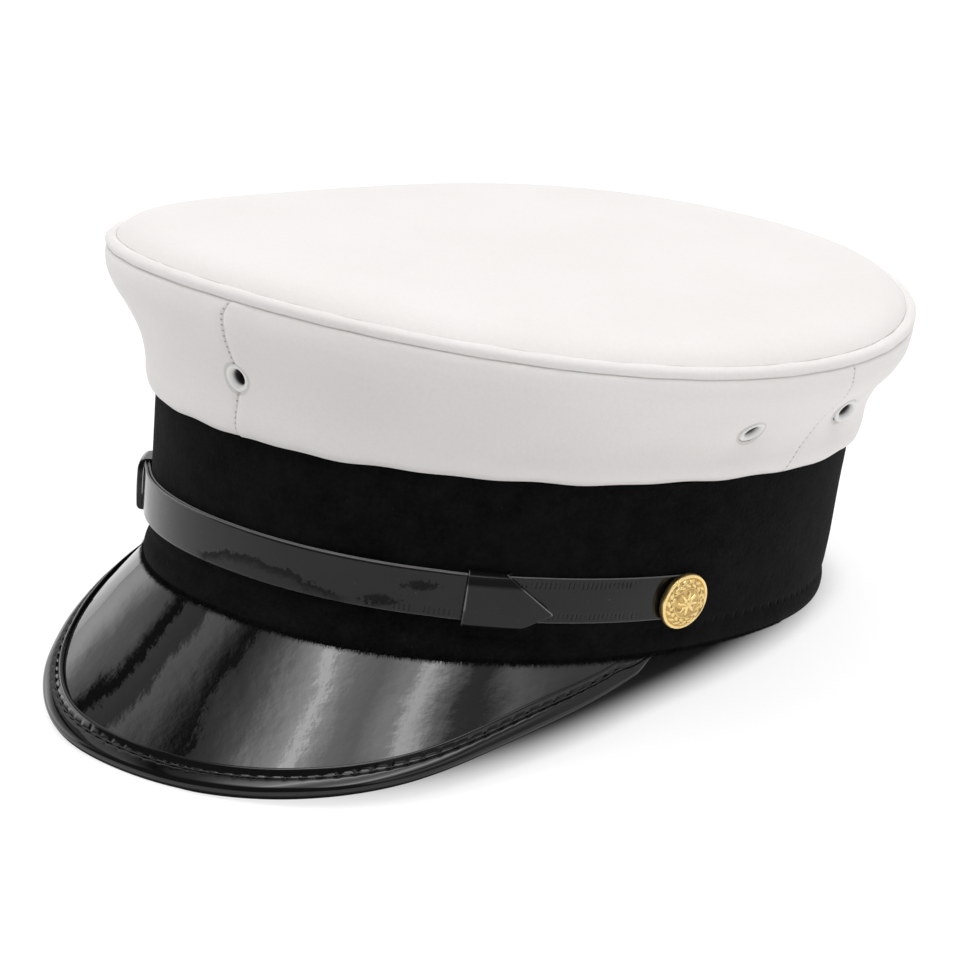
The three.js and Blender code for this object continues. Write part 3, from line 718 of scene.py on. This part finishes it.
PATENT_DARK, PATENT_PALE = (0.0022, 0.0022, 0.0025, 1), (0.0045, 0.0045, 0.0050, 1)
PATENT_DUST = (0.25, 0.25, 0.26, 1)
patent, make, shader, where = new_finish("patent_black")
lacquer = make.noise(where, 20, 2, 0.5)
flow = make.noise(where, 130, 5, 0.5)
dust = make.noise(where, 1500, 1, 0.5).spread(0.76, 0.82)
black = make.mix(lacquer.spread(0.3, 0.7), PATENT_DARK, PATENT_PALE)
black = make.mix(dust * 0.08, black, PATENT_DUST)
wave = make.bump(lacquer, 0.004, 0.2)
make.fill(shader, {
    "Base Color": black, "Roughness": flow.spread(0.3, 0.75, 0.015, 0.035) + dust * 0.2,
    "Specular IOR Level": 0.6, "IOR": 1.5,
    "Normal": make.bump(flow, 0.0006, 0.2, wave)})

share = np.linspace(0, 1, 360)
root, flange, edge, out, normal, length = visor_rules(share)
plate_end = edge - VISOR_SHORT * out
step = np.concatenate([np.linspace(0, VISOR_FOLD, 5)[:-1], np.linspace(VISOR_FOLD, 1, 60)])[None, :, None]
line = root[:, None] + step * (plate_end - root)[:, None]
bend = unit(normal + UPRIGHT)
upward = unit(between(bend[:, None], normal[:, None], ease(step, 0, VISOR_FOLD)))
along = share[:, None, None]
ripple = 0.132 * np.sin(9 * np.pi * along + 2.2 * step) * np.sin(np.pi * step)
hollow = bent(along, *VISOR_HOLLOW) * 4 * step * (1 - step)
face = np.concatenate([flange[:, None], line + (ripple - hollow) * upward], 1)
back_face = np.concatenate([flange[:, None] - VISOR_WALL * UPRIGHT, line - VISOR_WALL * upward], 1)
shell = walled(face, back_face)
shell[..., 0] -= VISOR_TUCK * tucked(share)[:, None] * np.sign(shell[..., 0])
visor = sewn("visor_shell", shell, False, patent)
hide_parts("visor")
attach(visor, "root")


# Visor binding
# A strip of softer patent folded round the visor's edge and sewn through with one row of
# stitches. The stitches pull a channel between a thin raised lip and a rounded bead.

BINDING_LIP, BINDING_STITCH_PITCH, BINDING_STITCH_SET, BINDING_END_LIFT = 8.0, 4.6, 5.2, 0.6

# Section of the binding: distance in from the edge, height over the visor's face, and how much
# each stitch pulls that place down, in mm
BINDING_SECTION = [
    (8.0, 0.1, 0), (8.0, 0.7, 0), (7.93, 0.93, 0), (7.75, 1.03, 0), (7.3, 1.05, 0), (7.0, 0.88, 0.02),
    (6.5, 0.62, 0.06), (5.9, 0.5, 0.14), (5.5, 0.44, 0.22), (5.15, 0.5, 0.25), (4.85, 0.78, 0.2),
    (4.6, 1.04, 0.1), (4.3, 1.2, 0.04), (3.8, 1.29, 0), (3.2, 1.34, 0), (2.6, 1.35, 0), (2.0, 1.31, 0),
    (1.4, 1.2, 0), (0.85, 0.95, 0), (0.4, 0.45, 0), (0.1, -0.3, 0), (0, -1.2, 0), (0.1, -1.85, 0),
    (0.45, -2.5, 0), (1.0, -2.95, 0), (1.7, -3.1, 0), (3.0, -3.1, 0), (4.5, -3.0, 0), (6.0, -3.1, 0),
    (7.8, -3.0, 0), (8.0, -2.7, 0), (7.8, -2.3, 0), (4.0, -2.25, 0), (1.6, -2.2, 0), (1.2, -1.6, 0),
    (1.2, -0.4, 0), (1.6, 0.06, 0), (4.0, 0.06, 0)]
edging, make, shader, where = new_finish("patent_binding")
lacquer = make.noise(where, 40, 2, 0.5)
make.fill(shader, {
    "Base Color": make.mix(lacquer, PATENT_DARK, PATENT_PALE), "Roughness": 0.3,
    "Specular IOR Level": 0.0, "Coat Roughness": 0.04,
    "Coat Weight": make.mark("upper").spread(0.0, 1.0, 0.06, 0.85)})


def lip_width(length):
    """Width of the binding's upper flap: it narrows towards the ends and stays on the visor."""
    return np.minimum(BINDING_LIP * (0.72 + 0.28 * ease(length, 5, 20)), length - 1)


# The flap and the wall round the edge thin out where the visor gets short. Each stitch pulls the
# channel down, and the bead beside it puckers.
share = np.linspace(0, 1, 1500)
_, _, edge, out, normal, length = visor_rules(share)
inset, lift, pull = np.array(BINDING_SECTION).T[:, None]
run = travel(edge[:, None].repeat(2, 1), 0)[:, None] * 1000
narrow = lip_width(length) / BINDING_LIP
flap, wall = 0.4 + 0.6 * ease(length, 4, 20), 0.15 + 0.85 * ease(length, 15, 52)
hole = (0.5 + 0.5 * np.cos(2 * np.pi * run / BINDING_STITCH_PITCH)) ** 3 * (1 + 0.4 * np.sin(run * 0.9))
pucker = (0.036 * np.sin(run / 3.7) + 0.03 * np.sin(run / 8.3 + 1)) * (lift > 0.5)
height = lift * np.where(lift > 0, flap, wall) - narrow * pull * hole + pucker
strip = edge[:, None] - (inset * narrow)[..., None] * out[:, None] + height[..., None] * normal[:, None]
ends = tucked(share)[:, None, None]
strip = strip + ends * (0.5 * (strip.mean(1, keepdims=True) - strip) + BINDING_END_LIFT * UPRIGHT)
strip[..., 0] -= VISOR_TUCK * ends[..., 0] * np.sign(strip[..., 0])
binding = sewn("visor_binding_strip", strip, False, edging, marks={"upper": ease(lift, -0.5, 0.5)})
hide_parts("visor_binding")
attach(binding, "root")

thread, make, shader, where = new_finish("thread_black")
ply = make.noise(where, 3000, 2, 0.6)
make.fill(shader, {
    "Base Color": make.mix(ply, (0.004, 0.004, 0.004, 1), (0.02, 0.02, 0.02, 1)),
    "Roughness": 0.6, "Normal": make.bump(ply, 0.0001, 0.6)})

# Stitches in the channel: each is a short round thread that rises from one hole and dips into the
# next. None is sewn at the visor's very ends.
THREAD_RADIUS, THREAD_HALF, THREAD_RINGS, THREAD_SIDES, UNSEWN = 0.22, 0.36, 9, 8, 3.5
total = run[-1, 0]
stitches = np.arange(UNSEWN, total / BINDING_STITCH_PITCH - UNSEWN)[:, None]
bow = np.linspace(-THREAD_HALF, THREAD_HALF, THREAD_RINGS)[None]
spot = (stitches + 0.5 + bow) * BINDING_STITCH_PITCH / total
_, _, edge, out, normal, length = visor_rules(spot.ravel())
arch = (0.66 - 0.42 * (np.abs(bow) / THREAD_HALF) ** 3 + 0 * stitches).reshape(-1, 1)
core = edge - BINDING_STITCH_SET * lip_width(length) / BINDING_LIP * out + arch * normal
ring = all_round(THREAD_SIDES)
tube = core[:, None] + THREAD_RADIUS * (np.cos(ring) * out[:, None] + np.sin(ring) * normal[:, None])
corner = np.arange(tube[..., 0].size).reshape(len(stitches), THREAD_RINGS, THREAD_SIDES)
beside = np.roll(corner, -1, 2)
quads = np.stack([corner[:, :-1], corner[:, 1:], beside[:, 1:], beside[:, :-1]], -1).reshape(-1, 4)
caps = np.concatenate([corner[:, 0], corner[:, -1, ::-1]])
mesh = bpy.data.meshes.new("binding_stitches")
mesh.from_pydata(at_rest(tube.reshape(-1, 3)).tolist(), [], quads.tolist() + caps.tolist())
stitching = finished("binding_stitches", mesh, thread)
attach(stitching, "root")


# Half straps
# Two strips of patent leather laid over each other across the front of the band, each held by a button at
# its rounded end and by a keeper at the other. The edges are rounded and carry a painted highlight.

STRAP_WIDTH, STRAP_WALL, STRAP_ROUND, STRAP_SEAT, STRAP_PLAY = 12.5, 0.9, 0.9, -0.1, 0.05
STRAP_HEIGHT, STRAP_LEAN, STRAP_CROWN = 15.6, -0.026, 0.12
TICK_ROW, TICK_PITCH = 0.00435, 0.0013
BUTTON_TURN, STRAP_END = 79, 82.5
KEEPER_START, KEEPER_END = 42, 49
KEEPER_WALL, SLEEVE_BACK = 0.9, -0.7
OVER_LAYER = STRAP_WALL + STRAP_PLAY


def strap_lift(turn):
    """Lift of both straps where a keeper's back passes under them."""
    away = np.abs(np.abs(turn) - np.radians((KEEPER_START + KEEPER_END) / 2))
    over_back = SLEEVE_BACK + KEEPER_WALL + STRAP_PLAY - STRAP_SEAT
    return over_back * (1 - ease(away, np.radians(4.5), np.radians(9)))


def on_strap(turn, across, out):
    """Point over the band at a distance across the strap's centre line, which leans with y."""
    height = STRAP_HEIGHT + STRAP_LEAN * on_band(turn, STRAP_HEIGHT + 0 * turn)[..., 1] + across
    return on_band(turn, height, out)


strap_patent, make, shader, where = new_finish("patent_strap")
cut = make.node("ShaderNodeUVMap", {"uv_map": "cut"})
across, round_by, edge = make.mark("across"), make.mark("turn"), make.mark("edge")
lacquer = make.noise(where, 30, 2, 0.5)
crinkle = make.noise(where, 260, 3, 0.6)
dust = make.noise(where, 1500, 1, 0.5).spread(0.74, 0.80)
uneven = make.noise(cut, 300, 1, 0.5)
row = make.math("ABSOLUTE", make.math("ABSOLUTE", across) - TICK_ROW).spread(0.0006, 0.0011, 1.0, 0.0)
ticks = make.beat(make.part(cut, 0) + uneven * 0.0005, TICK_PITCH).spread(0.5, 0.85)
press = row * ticks * make.mark("tick") * uneven.spread(0.25, 0.55)
wobble = (make.noise(where, 170, 6, 0.7) - 0.5) * 0.004
ragged = make.noise(where, 600, 5, 0.75) - 0.5

# A dull dark crack along a jagged line across the front with painted dark reflection fading out below it,
# and two dull dented spots of painted dark reflection, each with its turn and half width in degrees and its
# distance across and half height in metres
DARK_REFLECTION_SPOTS = [(34.7, 2.2, 0.0018, 0.0013), (28.2, 2.4, -0.0036, 0.0014)]
line = round_by.spread(-6, 1, -0.0034, -0.0006) + round_by.spread(9, 22, 0.0, -0.0036)
below = line - across + wobble + ragged * 0.005
# The crack is the sharp dark part at the line; below it the dull dark fades as painted dark reflection
crack_and_reflection = below.spread(0.0, 0.0004) * below.spread(0.0004, 0.0034, 1.0, 0.2)
crack_and_reflection = crack_and_reflection * round_by.spread(-8, -5) * round_by.spread(19, 24, 1.0, 0.0)
reflection_spots = 0.0
for turn_at, half_turn, across_at, half_across in DARK_REFLECTION_SPOTS:
    off_turn = (round_by - turn_at) / half_turn + ragged * 5
    off_across = (across - across_at) / half_across + ragged * 4
    off = make.math("SQRT", off_turn * off_turn + off_across * off_across)
    reflection_spots = off.spread(0.5, 1.2, 1.0, 0.0) + reflection_spots
black = make.mix(lacquer.spread(0.3, 0.7), (0.0040, 0.0041, 0.0045, 1), (0.0075, 0.0075, 0.0080, 1))
black = make.mix(dust * 0.12, black, PATENT_DUST)
# Painted highlight: the edge mark lightens the rounded strap edges and the keepers' cut edges
black = make.mix(edge, black, (0.19, 0.186, 0.183, 1))
wave = make.bump(lacquer, 0.002, 0.22)
wave = make.bump(crinkle, 0.0001, 0.2, wave)
make.fill(shader, {
    "Base Color": black, "Roughness": crinkle.spread(0.3, 0.75, 0.08, 0.15) + dust * 0.2 + edge * 0.4,
    "Specular IOR Level": 0.3, "IOR": 1.5,
    "Normal": make.bump(1 - press - reflection_spots, 0.0002, 0.6, wave)})
# Dull near-black finish mixed in for the pressed ticks, for the crack and the painted dark reflections on
# the straps, and for the painted dark reflection along the keepers' top fold
worn = make.node("ShaderNodeBsdfPrincipled", None, {
    "Base Color": (0.008, 0.008, 0.008, 1), "Roughness": 0.9, "Specular IOR Level": 0.05})
gloss = Finish(make.tree, shader.outputs[0])
dulled = press * 0.55 + crack_and_reflection * 0.75 + reflection_spots * 0.75 + make.mark("fold") * 0.85
surface = make.node("ShaderNodeMixShader", None, {0: dulled, 1: gloss, 2: worn})
make.tree.links.new(surface.socket, make.tree.nodes["Material Output"].inputs["Surface"])


def half_strap(name, button_turn, square_turn, layer):
    """Strip from its round button end to its square end. Its section is a flat bar with rounded
    edges; the round end is a half circle; layer(turn) is its back's height over the band."""
    share = np.linspace(0, 1, 420)[:, None]
    turn = np.radians(between(button_turn, square_turn, share ** 1.25))
    left = np.abs(np.radians(button_turn) - turn) * BAND_FOOT["width"]
    full = STRAP_WIDTH / 2
    half = np.where(left >= full, full, np.sqrt(np.maximum(full ** 2 - (full - left) ** 2, 0.05)))
    edge = np.radians(np.linspace(-90, 90, 7))
    top, bottom = np.linspace(-1, 1, 15)[1:-1], np.linspace(1, -1, 7)[1:-1]
    inward, rise = 0.5 - 0.5 * np.cos(edge), 0.5 + 0.5 * np.sin(edge)
    # Painted highlight along the rounded edges, strongest where they face up and out, mirrored on the lower
    # edge
    highlight_curve = np.maximum(np.cos(edge - np.radians(35)), 0) ** 12
    side, inward, lift, edge_highlight = (np.concatenate(parts)[None] for parts in (
        (0 * edge - 1, top, 0 * edge + 1, bottom), (inward, 0 * top, inward, 0 * bottom),
        (rise, 0 * top + 1, rise[::-1], 0 * bottom), (highlight_curve, 0 * top, highlight_curve[::-1], 0 * bottom)))
    across = np.sign(side) * np.maximum(half * np.abs(side) - inward * np.minimum(STRAP_ROUND, half), 0)
    crown = STRAP_CROWN * (1 - side ** 2) * (lift > 0.9)
    out = STRAP_SEAT + strap_lift(turn) + layer(turn) + STRAP_WALL * lift + crown
    strip = on_strap(turn + 0 * across, across, out)
    degrees = np.degrees(turn)
    faint = 0.6 * window(degrees, 29, 31, 40, 41.5) * (across < 0)
    ticked = window(np.abs(degrees), 50, 52, 70, 73) + faint
    strap = sewn(name + "_strip", strip, False, strap_patent, marks={
        "tick": ticked, "across": across / 1000, "turn": degrees, "edge": edge_highlight})
    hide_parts(name)
    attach(strap, "root")


half_strap("strap_under", STRAP_END, -45, lambda turn: 0 * turn)
half_strap("strap_over", -STRAP_END, 45, lambda turn: OVER_LAYER * ease(
    turn, np.radians(-70), np.radians(-56)))


# Keepers
# A sleeve of patent leather round both straps on each side of the front, with its outer end cut to a point.
# The cut edges carry fine lines of painted highlight.

KEEPER_HALF, KEEPER_SHIFT, KEEPER_BULGE, KEEPER_CORNER = 7.2, -0.35, 0.2, 1.3
KEEPER_TIP, KEEPER_TIP_DROP, KEEPER_LOW_END = 56.5, 2.6, 51.2
KEEPER_FOLD, KEEPER_FOLD_RADIUS, KEEPER_FIT, KEEPER_STEPS = 3.8, 7.0, 1.7, 24
FOLD_SHADE = (KEEPER_FOLD, KEEPER_FOLD + 0.6, 6.4, 6.8)
SLEEVE_FRONT = SLEEVE_BACK + 2 * KEEPER_WALL + 2 * STRAP_WALL + 20 * STRAP_PLAY


def sleeve_loop(depth, count):
    """Rounded flat loop round the straps, set in by a depth, as distances across and out. The face
    bulges a little, and from its fold up it bends back on a wide radius."""
    half, back, front = KEEPER_HALF - depth, SLEEVE_BACK + depth, SLEEVE_FRONT - KEEPER_FIT * depth
    corner = KEEPER_CORNER - depth
    arc = np.radians(np.linspace(0, 90, count))
    straight = np.linspace(-1, 1, 3 * count)[1:-1]
    run = half - corner
    swing = corner * np.sin(arc), corner * (1 - np.cos(arc))
    across = np.concatenate([straight * run, run + swing[0], run + swing[0][::-1],
                             -straight * run, -run - swing[0], -run - swing[0][::-1]])
    out = np.concatenate([back + 0 * straight, back + swing[1], front - swing[1][::-1],
                          front + KEEPER_BULGE * (1 - straight ** 2), front - swing[1],
                          back + swing[1][::-1]])
    in_front = ease(out, back + corner, front - 0.8 * corner)
    bend = np.maximum(across - KEEPER_FOLD, 0) ** 2 / (2 * KEEPER_FOLD_RADIUS) * (1 - 0.7 * depth)
    return across, out - bend * in_front, in_front


def keeper(name, side):
    """Sleeve carried round its loop. Each line across it runs from the square edge to an end that
    is square at the back and drawn to a point below the middle in front; the cut edge is eased."""
    across, out, in_front = sleeve_loop(0, 9)
    in_across, in_out, _ = sleeve_loop(KEEPER_WALL, 9)
    high = (KEEPER_HALF - across) / (KEEPER_HALF + KEEPER_TIP_DROP)
    low = (KEEPER_HALF + across) / (KEEPER_HALF - KEEPER_TIP_DROP)
    point = np.where(across > -KEEPER_TIP_DROP, between(KEEPER_END - 0.8, KEEPER_TIP, high),
                     between(KEEPER_LOW_END, KEEPER_TIP, low))
    end = between(KEEPER_END, point, in_front)
    start = np.array([0, 0.005, 0.014, 0.03])
    # The cut ends are eased by trim and carry a painted highlight (lit), fainter on the lower part (shown)
    eased, lit = np.array([0.3, 0.12, 0.03, 0.0]), np.array([0.1, 1.0, 0.8, 0.0])
    share = np.concatenate([start, np.linspace(0.1, 0.9, KEEPER_STEPS), 1 - start[::-1]])[None]
    trim, cut_edge_highlight = (np.concatenate([part, np.zeros(KEEPER_STEPS), part[::-1]])[None] for part in (eased, lit))
    shown = (0.25 + 0.75 * ease(across, -KEEPER_TIP_DROP - 0.4, -KEEPER_TIP_DROP + 0.2))[:, None]
    turn = side * np.radians(between(KEEPER_START, end[:, None], share))
    face = on_strap(turn, across[:, None] + KEEPER_SHIFT + 0 * turn, out[:, None] - trim)
    lining = on_strap(turn, in_across[:, None] + KEEPER_SHIFT + 0 * turn, in_out[:, None] + 0 * turn)
    # The fold mark lays a painted dark reflection on the keeper's face where it bends back at the top
    loop = sewn(name + "_sleeve", walled(face, lining), True, strap_patent, marks={
        "tick": 0.0, "across": 0.0, "turn": 200.0, "edge": shown * walled(cut_edge_highlight, 0 * cut_edge_highlight),
        "fold": (in_front * window(across, *FOLD_SHADE))[:, None]})
    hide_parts(name)
    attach(loop, "root")


keeper("keeper_left", 1)
keeper("keeper_right", -1)


# Buttons
# Stamped gilt brass discs, over 15 mm across, on a shank through the strap and the band. The face
# carries a plain rim, a laurel ring in low relief and an eight-pointed star.

BUTTON_RADIUS, BUTTON_FOOT, BUTTON_DOME, BUTTON_HEIGHT = 7.8, 1.75, 1.45, 15.6

gilt, make, shader, where = new_finish("gilt")
hollow = make.mark("hollow")
tarnish = make.noise(where, 700, 4, 0.65)
polish = make.noise(where, 2600, 2, 0.6)
gold = make.mix(tarnish.spread(0.3, 0.7), (0.84, 0.60, 0.23, 1), (0.95, 0.74, 0.35, 1))
gold = make.mix(hollow * tarnish.spread(0.35, 0.65, 0.35, 0.8), gold, (0.30, 0.16, 0.04, 1))
make.fill(shader, {
    "Base Color": gold, "Metallic": 1.0,
    "Roughness": tarnish.spread(0.3, 0.7, 0.22, 0.34) + hollow * 0.15,
    "Normal": make.bump(polish, 0.00006, 0.5)})


def button_face(angle, ring):
    """Relief of the face in mm over its dome, by angle and share of the radius: a raised rim, two
    rows of leaf blades leaning round a ring, and an eight-pointed star with a boss."""
    rim = 0.34 * (ease(ring, 0.86, 0.90) - ease(ring, 0.985, 1.0))
    lean = angle * 15 / (2 * np.pi)
    leaf = np.zeros_like(angle * ring)
    for centre, tilt, offset in ((0.775, 9.0, 0.0), (0.645, -9.0, 0.5)):
        across = (lean + offset + tilt * (ring - centre) * 0.35) % 1 - 0.5
        along = (ring - centre) / 0.085
        blade = np.clip(1 - (across / 0.34) ** 2 - along ** 2, 0, 1) ** 0.5
        leaf = np.maximum(leaf, 0.34 * blade - 0.08 * (np.abs(across) < 0.04) * (blade > 0.2))
    bead = 0.12 * np.exp(-((ring - 0.545) / 0.014) ** 2)
    point = 0.5 + 0.5 * np.cos(8 * angle)
    reach = 0.20 + 0.26 * point ** 1.6
    ridge = 1 - 0.45 * (1 - point) * ease(ring, 0.01, 0.12)
    star = 0.30 * (1 - ease(ring, reach - 0.05, reach + 0.02)) * ridge
    boss = 0.22 * np.clip(1 - (ring / 0.13) ** 2, 0, 1) ** 0.5
    return 1.25 * (rim + leaf + bead + star + boss)


# Back and shank of a button: share of the radius, and height over the strap in mm
BUTTON_STEM = [(1.0, 1.55), (1.005, 1.2), (0.99, 0.75), (0.94, 0.42), (0.86, 0.22), (0.5, 0.1),
               (0.215, 0.0), (0.21, -1.2), (0.21, -3.8), (0.0, -3.8)]
angle = all_round(240)
ring = np.concatenate([np.linspace(0, 0.98, 96), [0.99, 0.997, 1.0]])[None]
stem, stem_height = np.array(BUTTON_STEM).T[:, None]
dome = BUTTON_FOOT + BUTTON_DOME * (1 - ring ** 2)
relief = button_face(angle, ring)
radius = np.concatenate([ring, stem], 1) * BUTTON_RADIUS
height = np.concatenate([dome + relief * (ring < 0.995), stem_height + 0 * angle], 1)
low = (1 - np.clip(relief / 0.14, 0, 1)) * ease(ring, 0.05, 0.2)
low = np.concatenate([low, 0.3 + 0 * stem + 0 * angle], 1)
for name, side in (("button_left", 1), ("button_right", -1)):
    place = np.radians(side * BUTTON_TURN)
    _, axis, _ = seat_on(on_band, place, BUTTON_HEIGHT)
    axis = axis * np.sign(axis[0] * side)
    seat = on_band(place, BUTTON_HEIGHT, STRAP_SEAT + STRAP_WALL + STRAP_PLAY)
    disc = turned(angle, radius, height, seat, axis)
    button = sewn(name + "_disc", disc, True, gilt, marks={"hollow": low})
    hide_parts(name)
    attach(button, "root")


# Studio
# A plain white floor inside a soft white light tent: two long strip lights in the roof, pale
# side walls and a darker opening in front, with the camera at the photograph's place.

FLOOR_WHITE, FLOOR_GLOW, TENT_GLOW = 0.24, 0.80, 0.84
TENT_LOW, TENT_HIGH, TENT_PEAK = -100, 100, 12

# The floor glows evenly, apart from a painted shadow: a rounded oval round where the cap stands, inside
# which the glow fades out. Its half width and half length in metres, and squareness
SHADE_WIDTH, SHADE_LENGTH, SHADE_SQUARE = 0.069, 0.107, 3
paper, make, shader, where = new_finish("white_floor")
side = make.math("ABSOLUTE", make.part(where, 0) / SHADE_WIDTH)
end = make.math("ABSOLUTE", make.part(where, 1) / SHADE_LENGTH)
oval_sum = make.math("POWER", side, SHADE_SQUARE) + make.math("POWER", end, SHADE_SQUARE)
outside_painted_shadow = make.math("POWER", oval_sum, 1 / SHADE_SQUARE).spread(0.90, 1.16)
make.fill(shader, {
    "Base Color": (FLOOR_WHITE, FLOOR_WHITE, FLOOR_WHITE, 1), "Roughness": 0.8,
    "Emission Color": make.mix(outside_painted_shadow, (0, 0, 0, 1), (1, 1, 1, 1)), "Emission Strength": FLOOR_GLOW})
mesh = bpy.data.meshes.new("floor")
mesh.from_pydata([(-6, -6, 0), (6, -6, 0), (6, 6, 0), (-6, 6, 0)], [], [(0, 1, 2, 3)])
mesh.materials.append(paper)
floor = bpy.data.objects.new("floor", mesh)
bpy.context.scene.collection.objects.link(floor)
floor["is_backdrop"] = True

# Brightness of the tent from one wall over the roof to the other: degrees from straight up
# towards the wearer's left, and glow
TENT = [(-100, 3.7), (-84, 2.75), (-74, 1.65), (-69, 1.0), (-62.4, 0.7), (-60.4, 0.04), (-56.9, 0.04),
        (-56.4, 0.5), (-49.5, 0.42), (-47.5, 1.5), (-43.5, 1.2), (-39, 0.5), (-35.2, 0.05), (-33.7, 0.05),
        (-33.2, 0.45), (-28.5, 0.75), (-22.5, 1.5), (-10, 5.8), (-8, 9.0), (-6.3, 8.8),
        (-4.8, 5.6), (1.5, 3.0), (8, 2.3), (17.5, 4.4), (20.5, 8.2), (23, 7.0), (28.5, 2.5), (35, 0.55),
        (40.5, 0.45), (47, 1.9), (53, 1.1), (62, 0.42)]
world = bpy.data.worlds.new("light_tent")
world.use_nodes = True
make = Finish(world.node_tree)
ray = make.node("ShaderNodeTexCoord", None, None, "Generated")
left_ray, back_ray, up_ray = (make.part(ray, axis) for axis in range(3))
roll = make.math("ARCTAN2", left_ray, up_ray) * (180 / np.pi)
slant = roll.spread(-80, -66, 0.0, 25.0) * roll.spread(-56, -46, 1.0, 0.0)  # one strip leans back
roll = roll + slant * (back_ray + 0.15)
stops = [((angle - TENT_LOW) / (TENT_HIGH - TENT_LOW), (glow / TENT_PEAK,) * 3 + (1,))
         for angle, glow in TENT]
strips = make.node("ShaderNodeValToRGB", {"stops": stops}, {0: (roll - TENT_LOW) / (TENT_HIGH - TENT_LOW)})
roof = back_ray.spread(-0.62, -0.46) * back_ray.spread(0.06, 0.4, 1.0, 0.0)
ends = back_ray.spread(-0.1, 0.1, 0.12, 0.88)
glow = strips * TENT_PEAK * roof + ends * (1 - roof)
tent = world.node_tree.nodes["Background"]
make.tree.links.new((glow * TENT_GLOW).socket, tent.inputs["Strength"])
tent.inputs["Color"].default_value = (1, 1, 1, 1)
bpy.context.scene.world = world

CAMERA_PLACE = np.array([0.628069, -0.681264, 0.399548])
CAMERA_RIGHT = np.array([0.73839518, 0.67436826, 0])
CAMERA_UP = np.array([-0.2419129, 0.26488098, 0.9334432])
lens = bpy.data.cameras.new("photograph")
lens.lens, lens.sensor_width = 133.28, 36
lens.clip_start, lens.clip_end = 0.01, 50
eye = bpy.data.objects.new("photograph", lens)
bpy.context.scene.collection.objects.link(eye)
axes = np.stack([CAMERA_RIGHT, CAMERA_UP, np.cross(CAMERA_RIGHT, CAMERA_UP)], 1)
eye.matrix_world = Matrix.Translation(CAMERA_PLACE.tolist()) @ Matrix(axes.tolist()).to_4x4()
bpy.context.scene.camera = eye
bpy.context.scene.view_settings.view_transform = "Standard"

low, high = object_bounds()
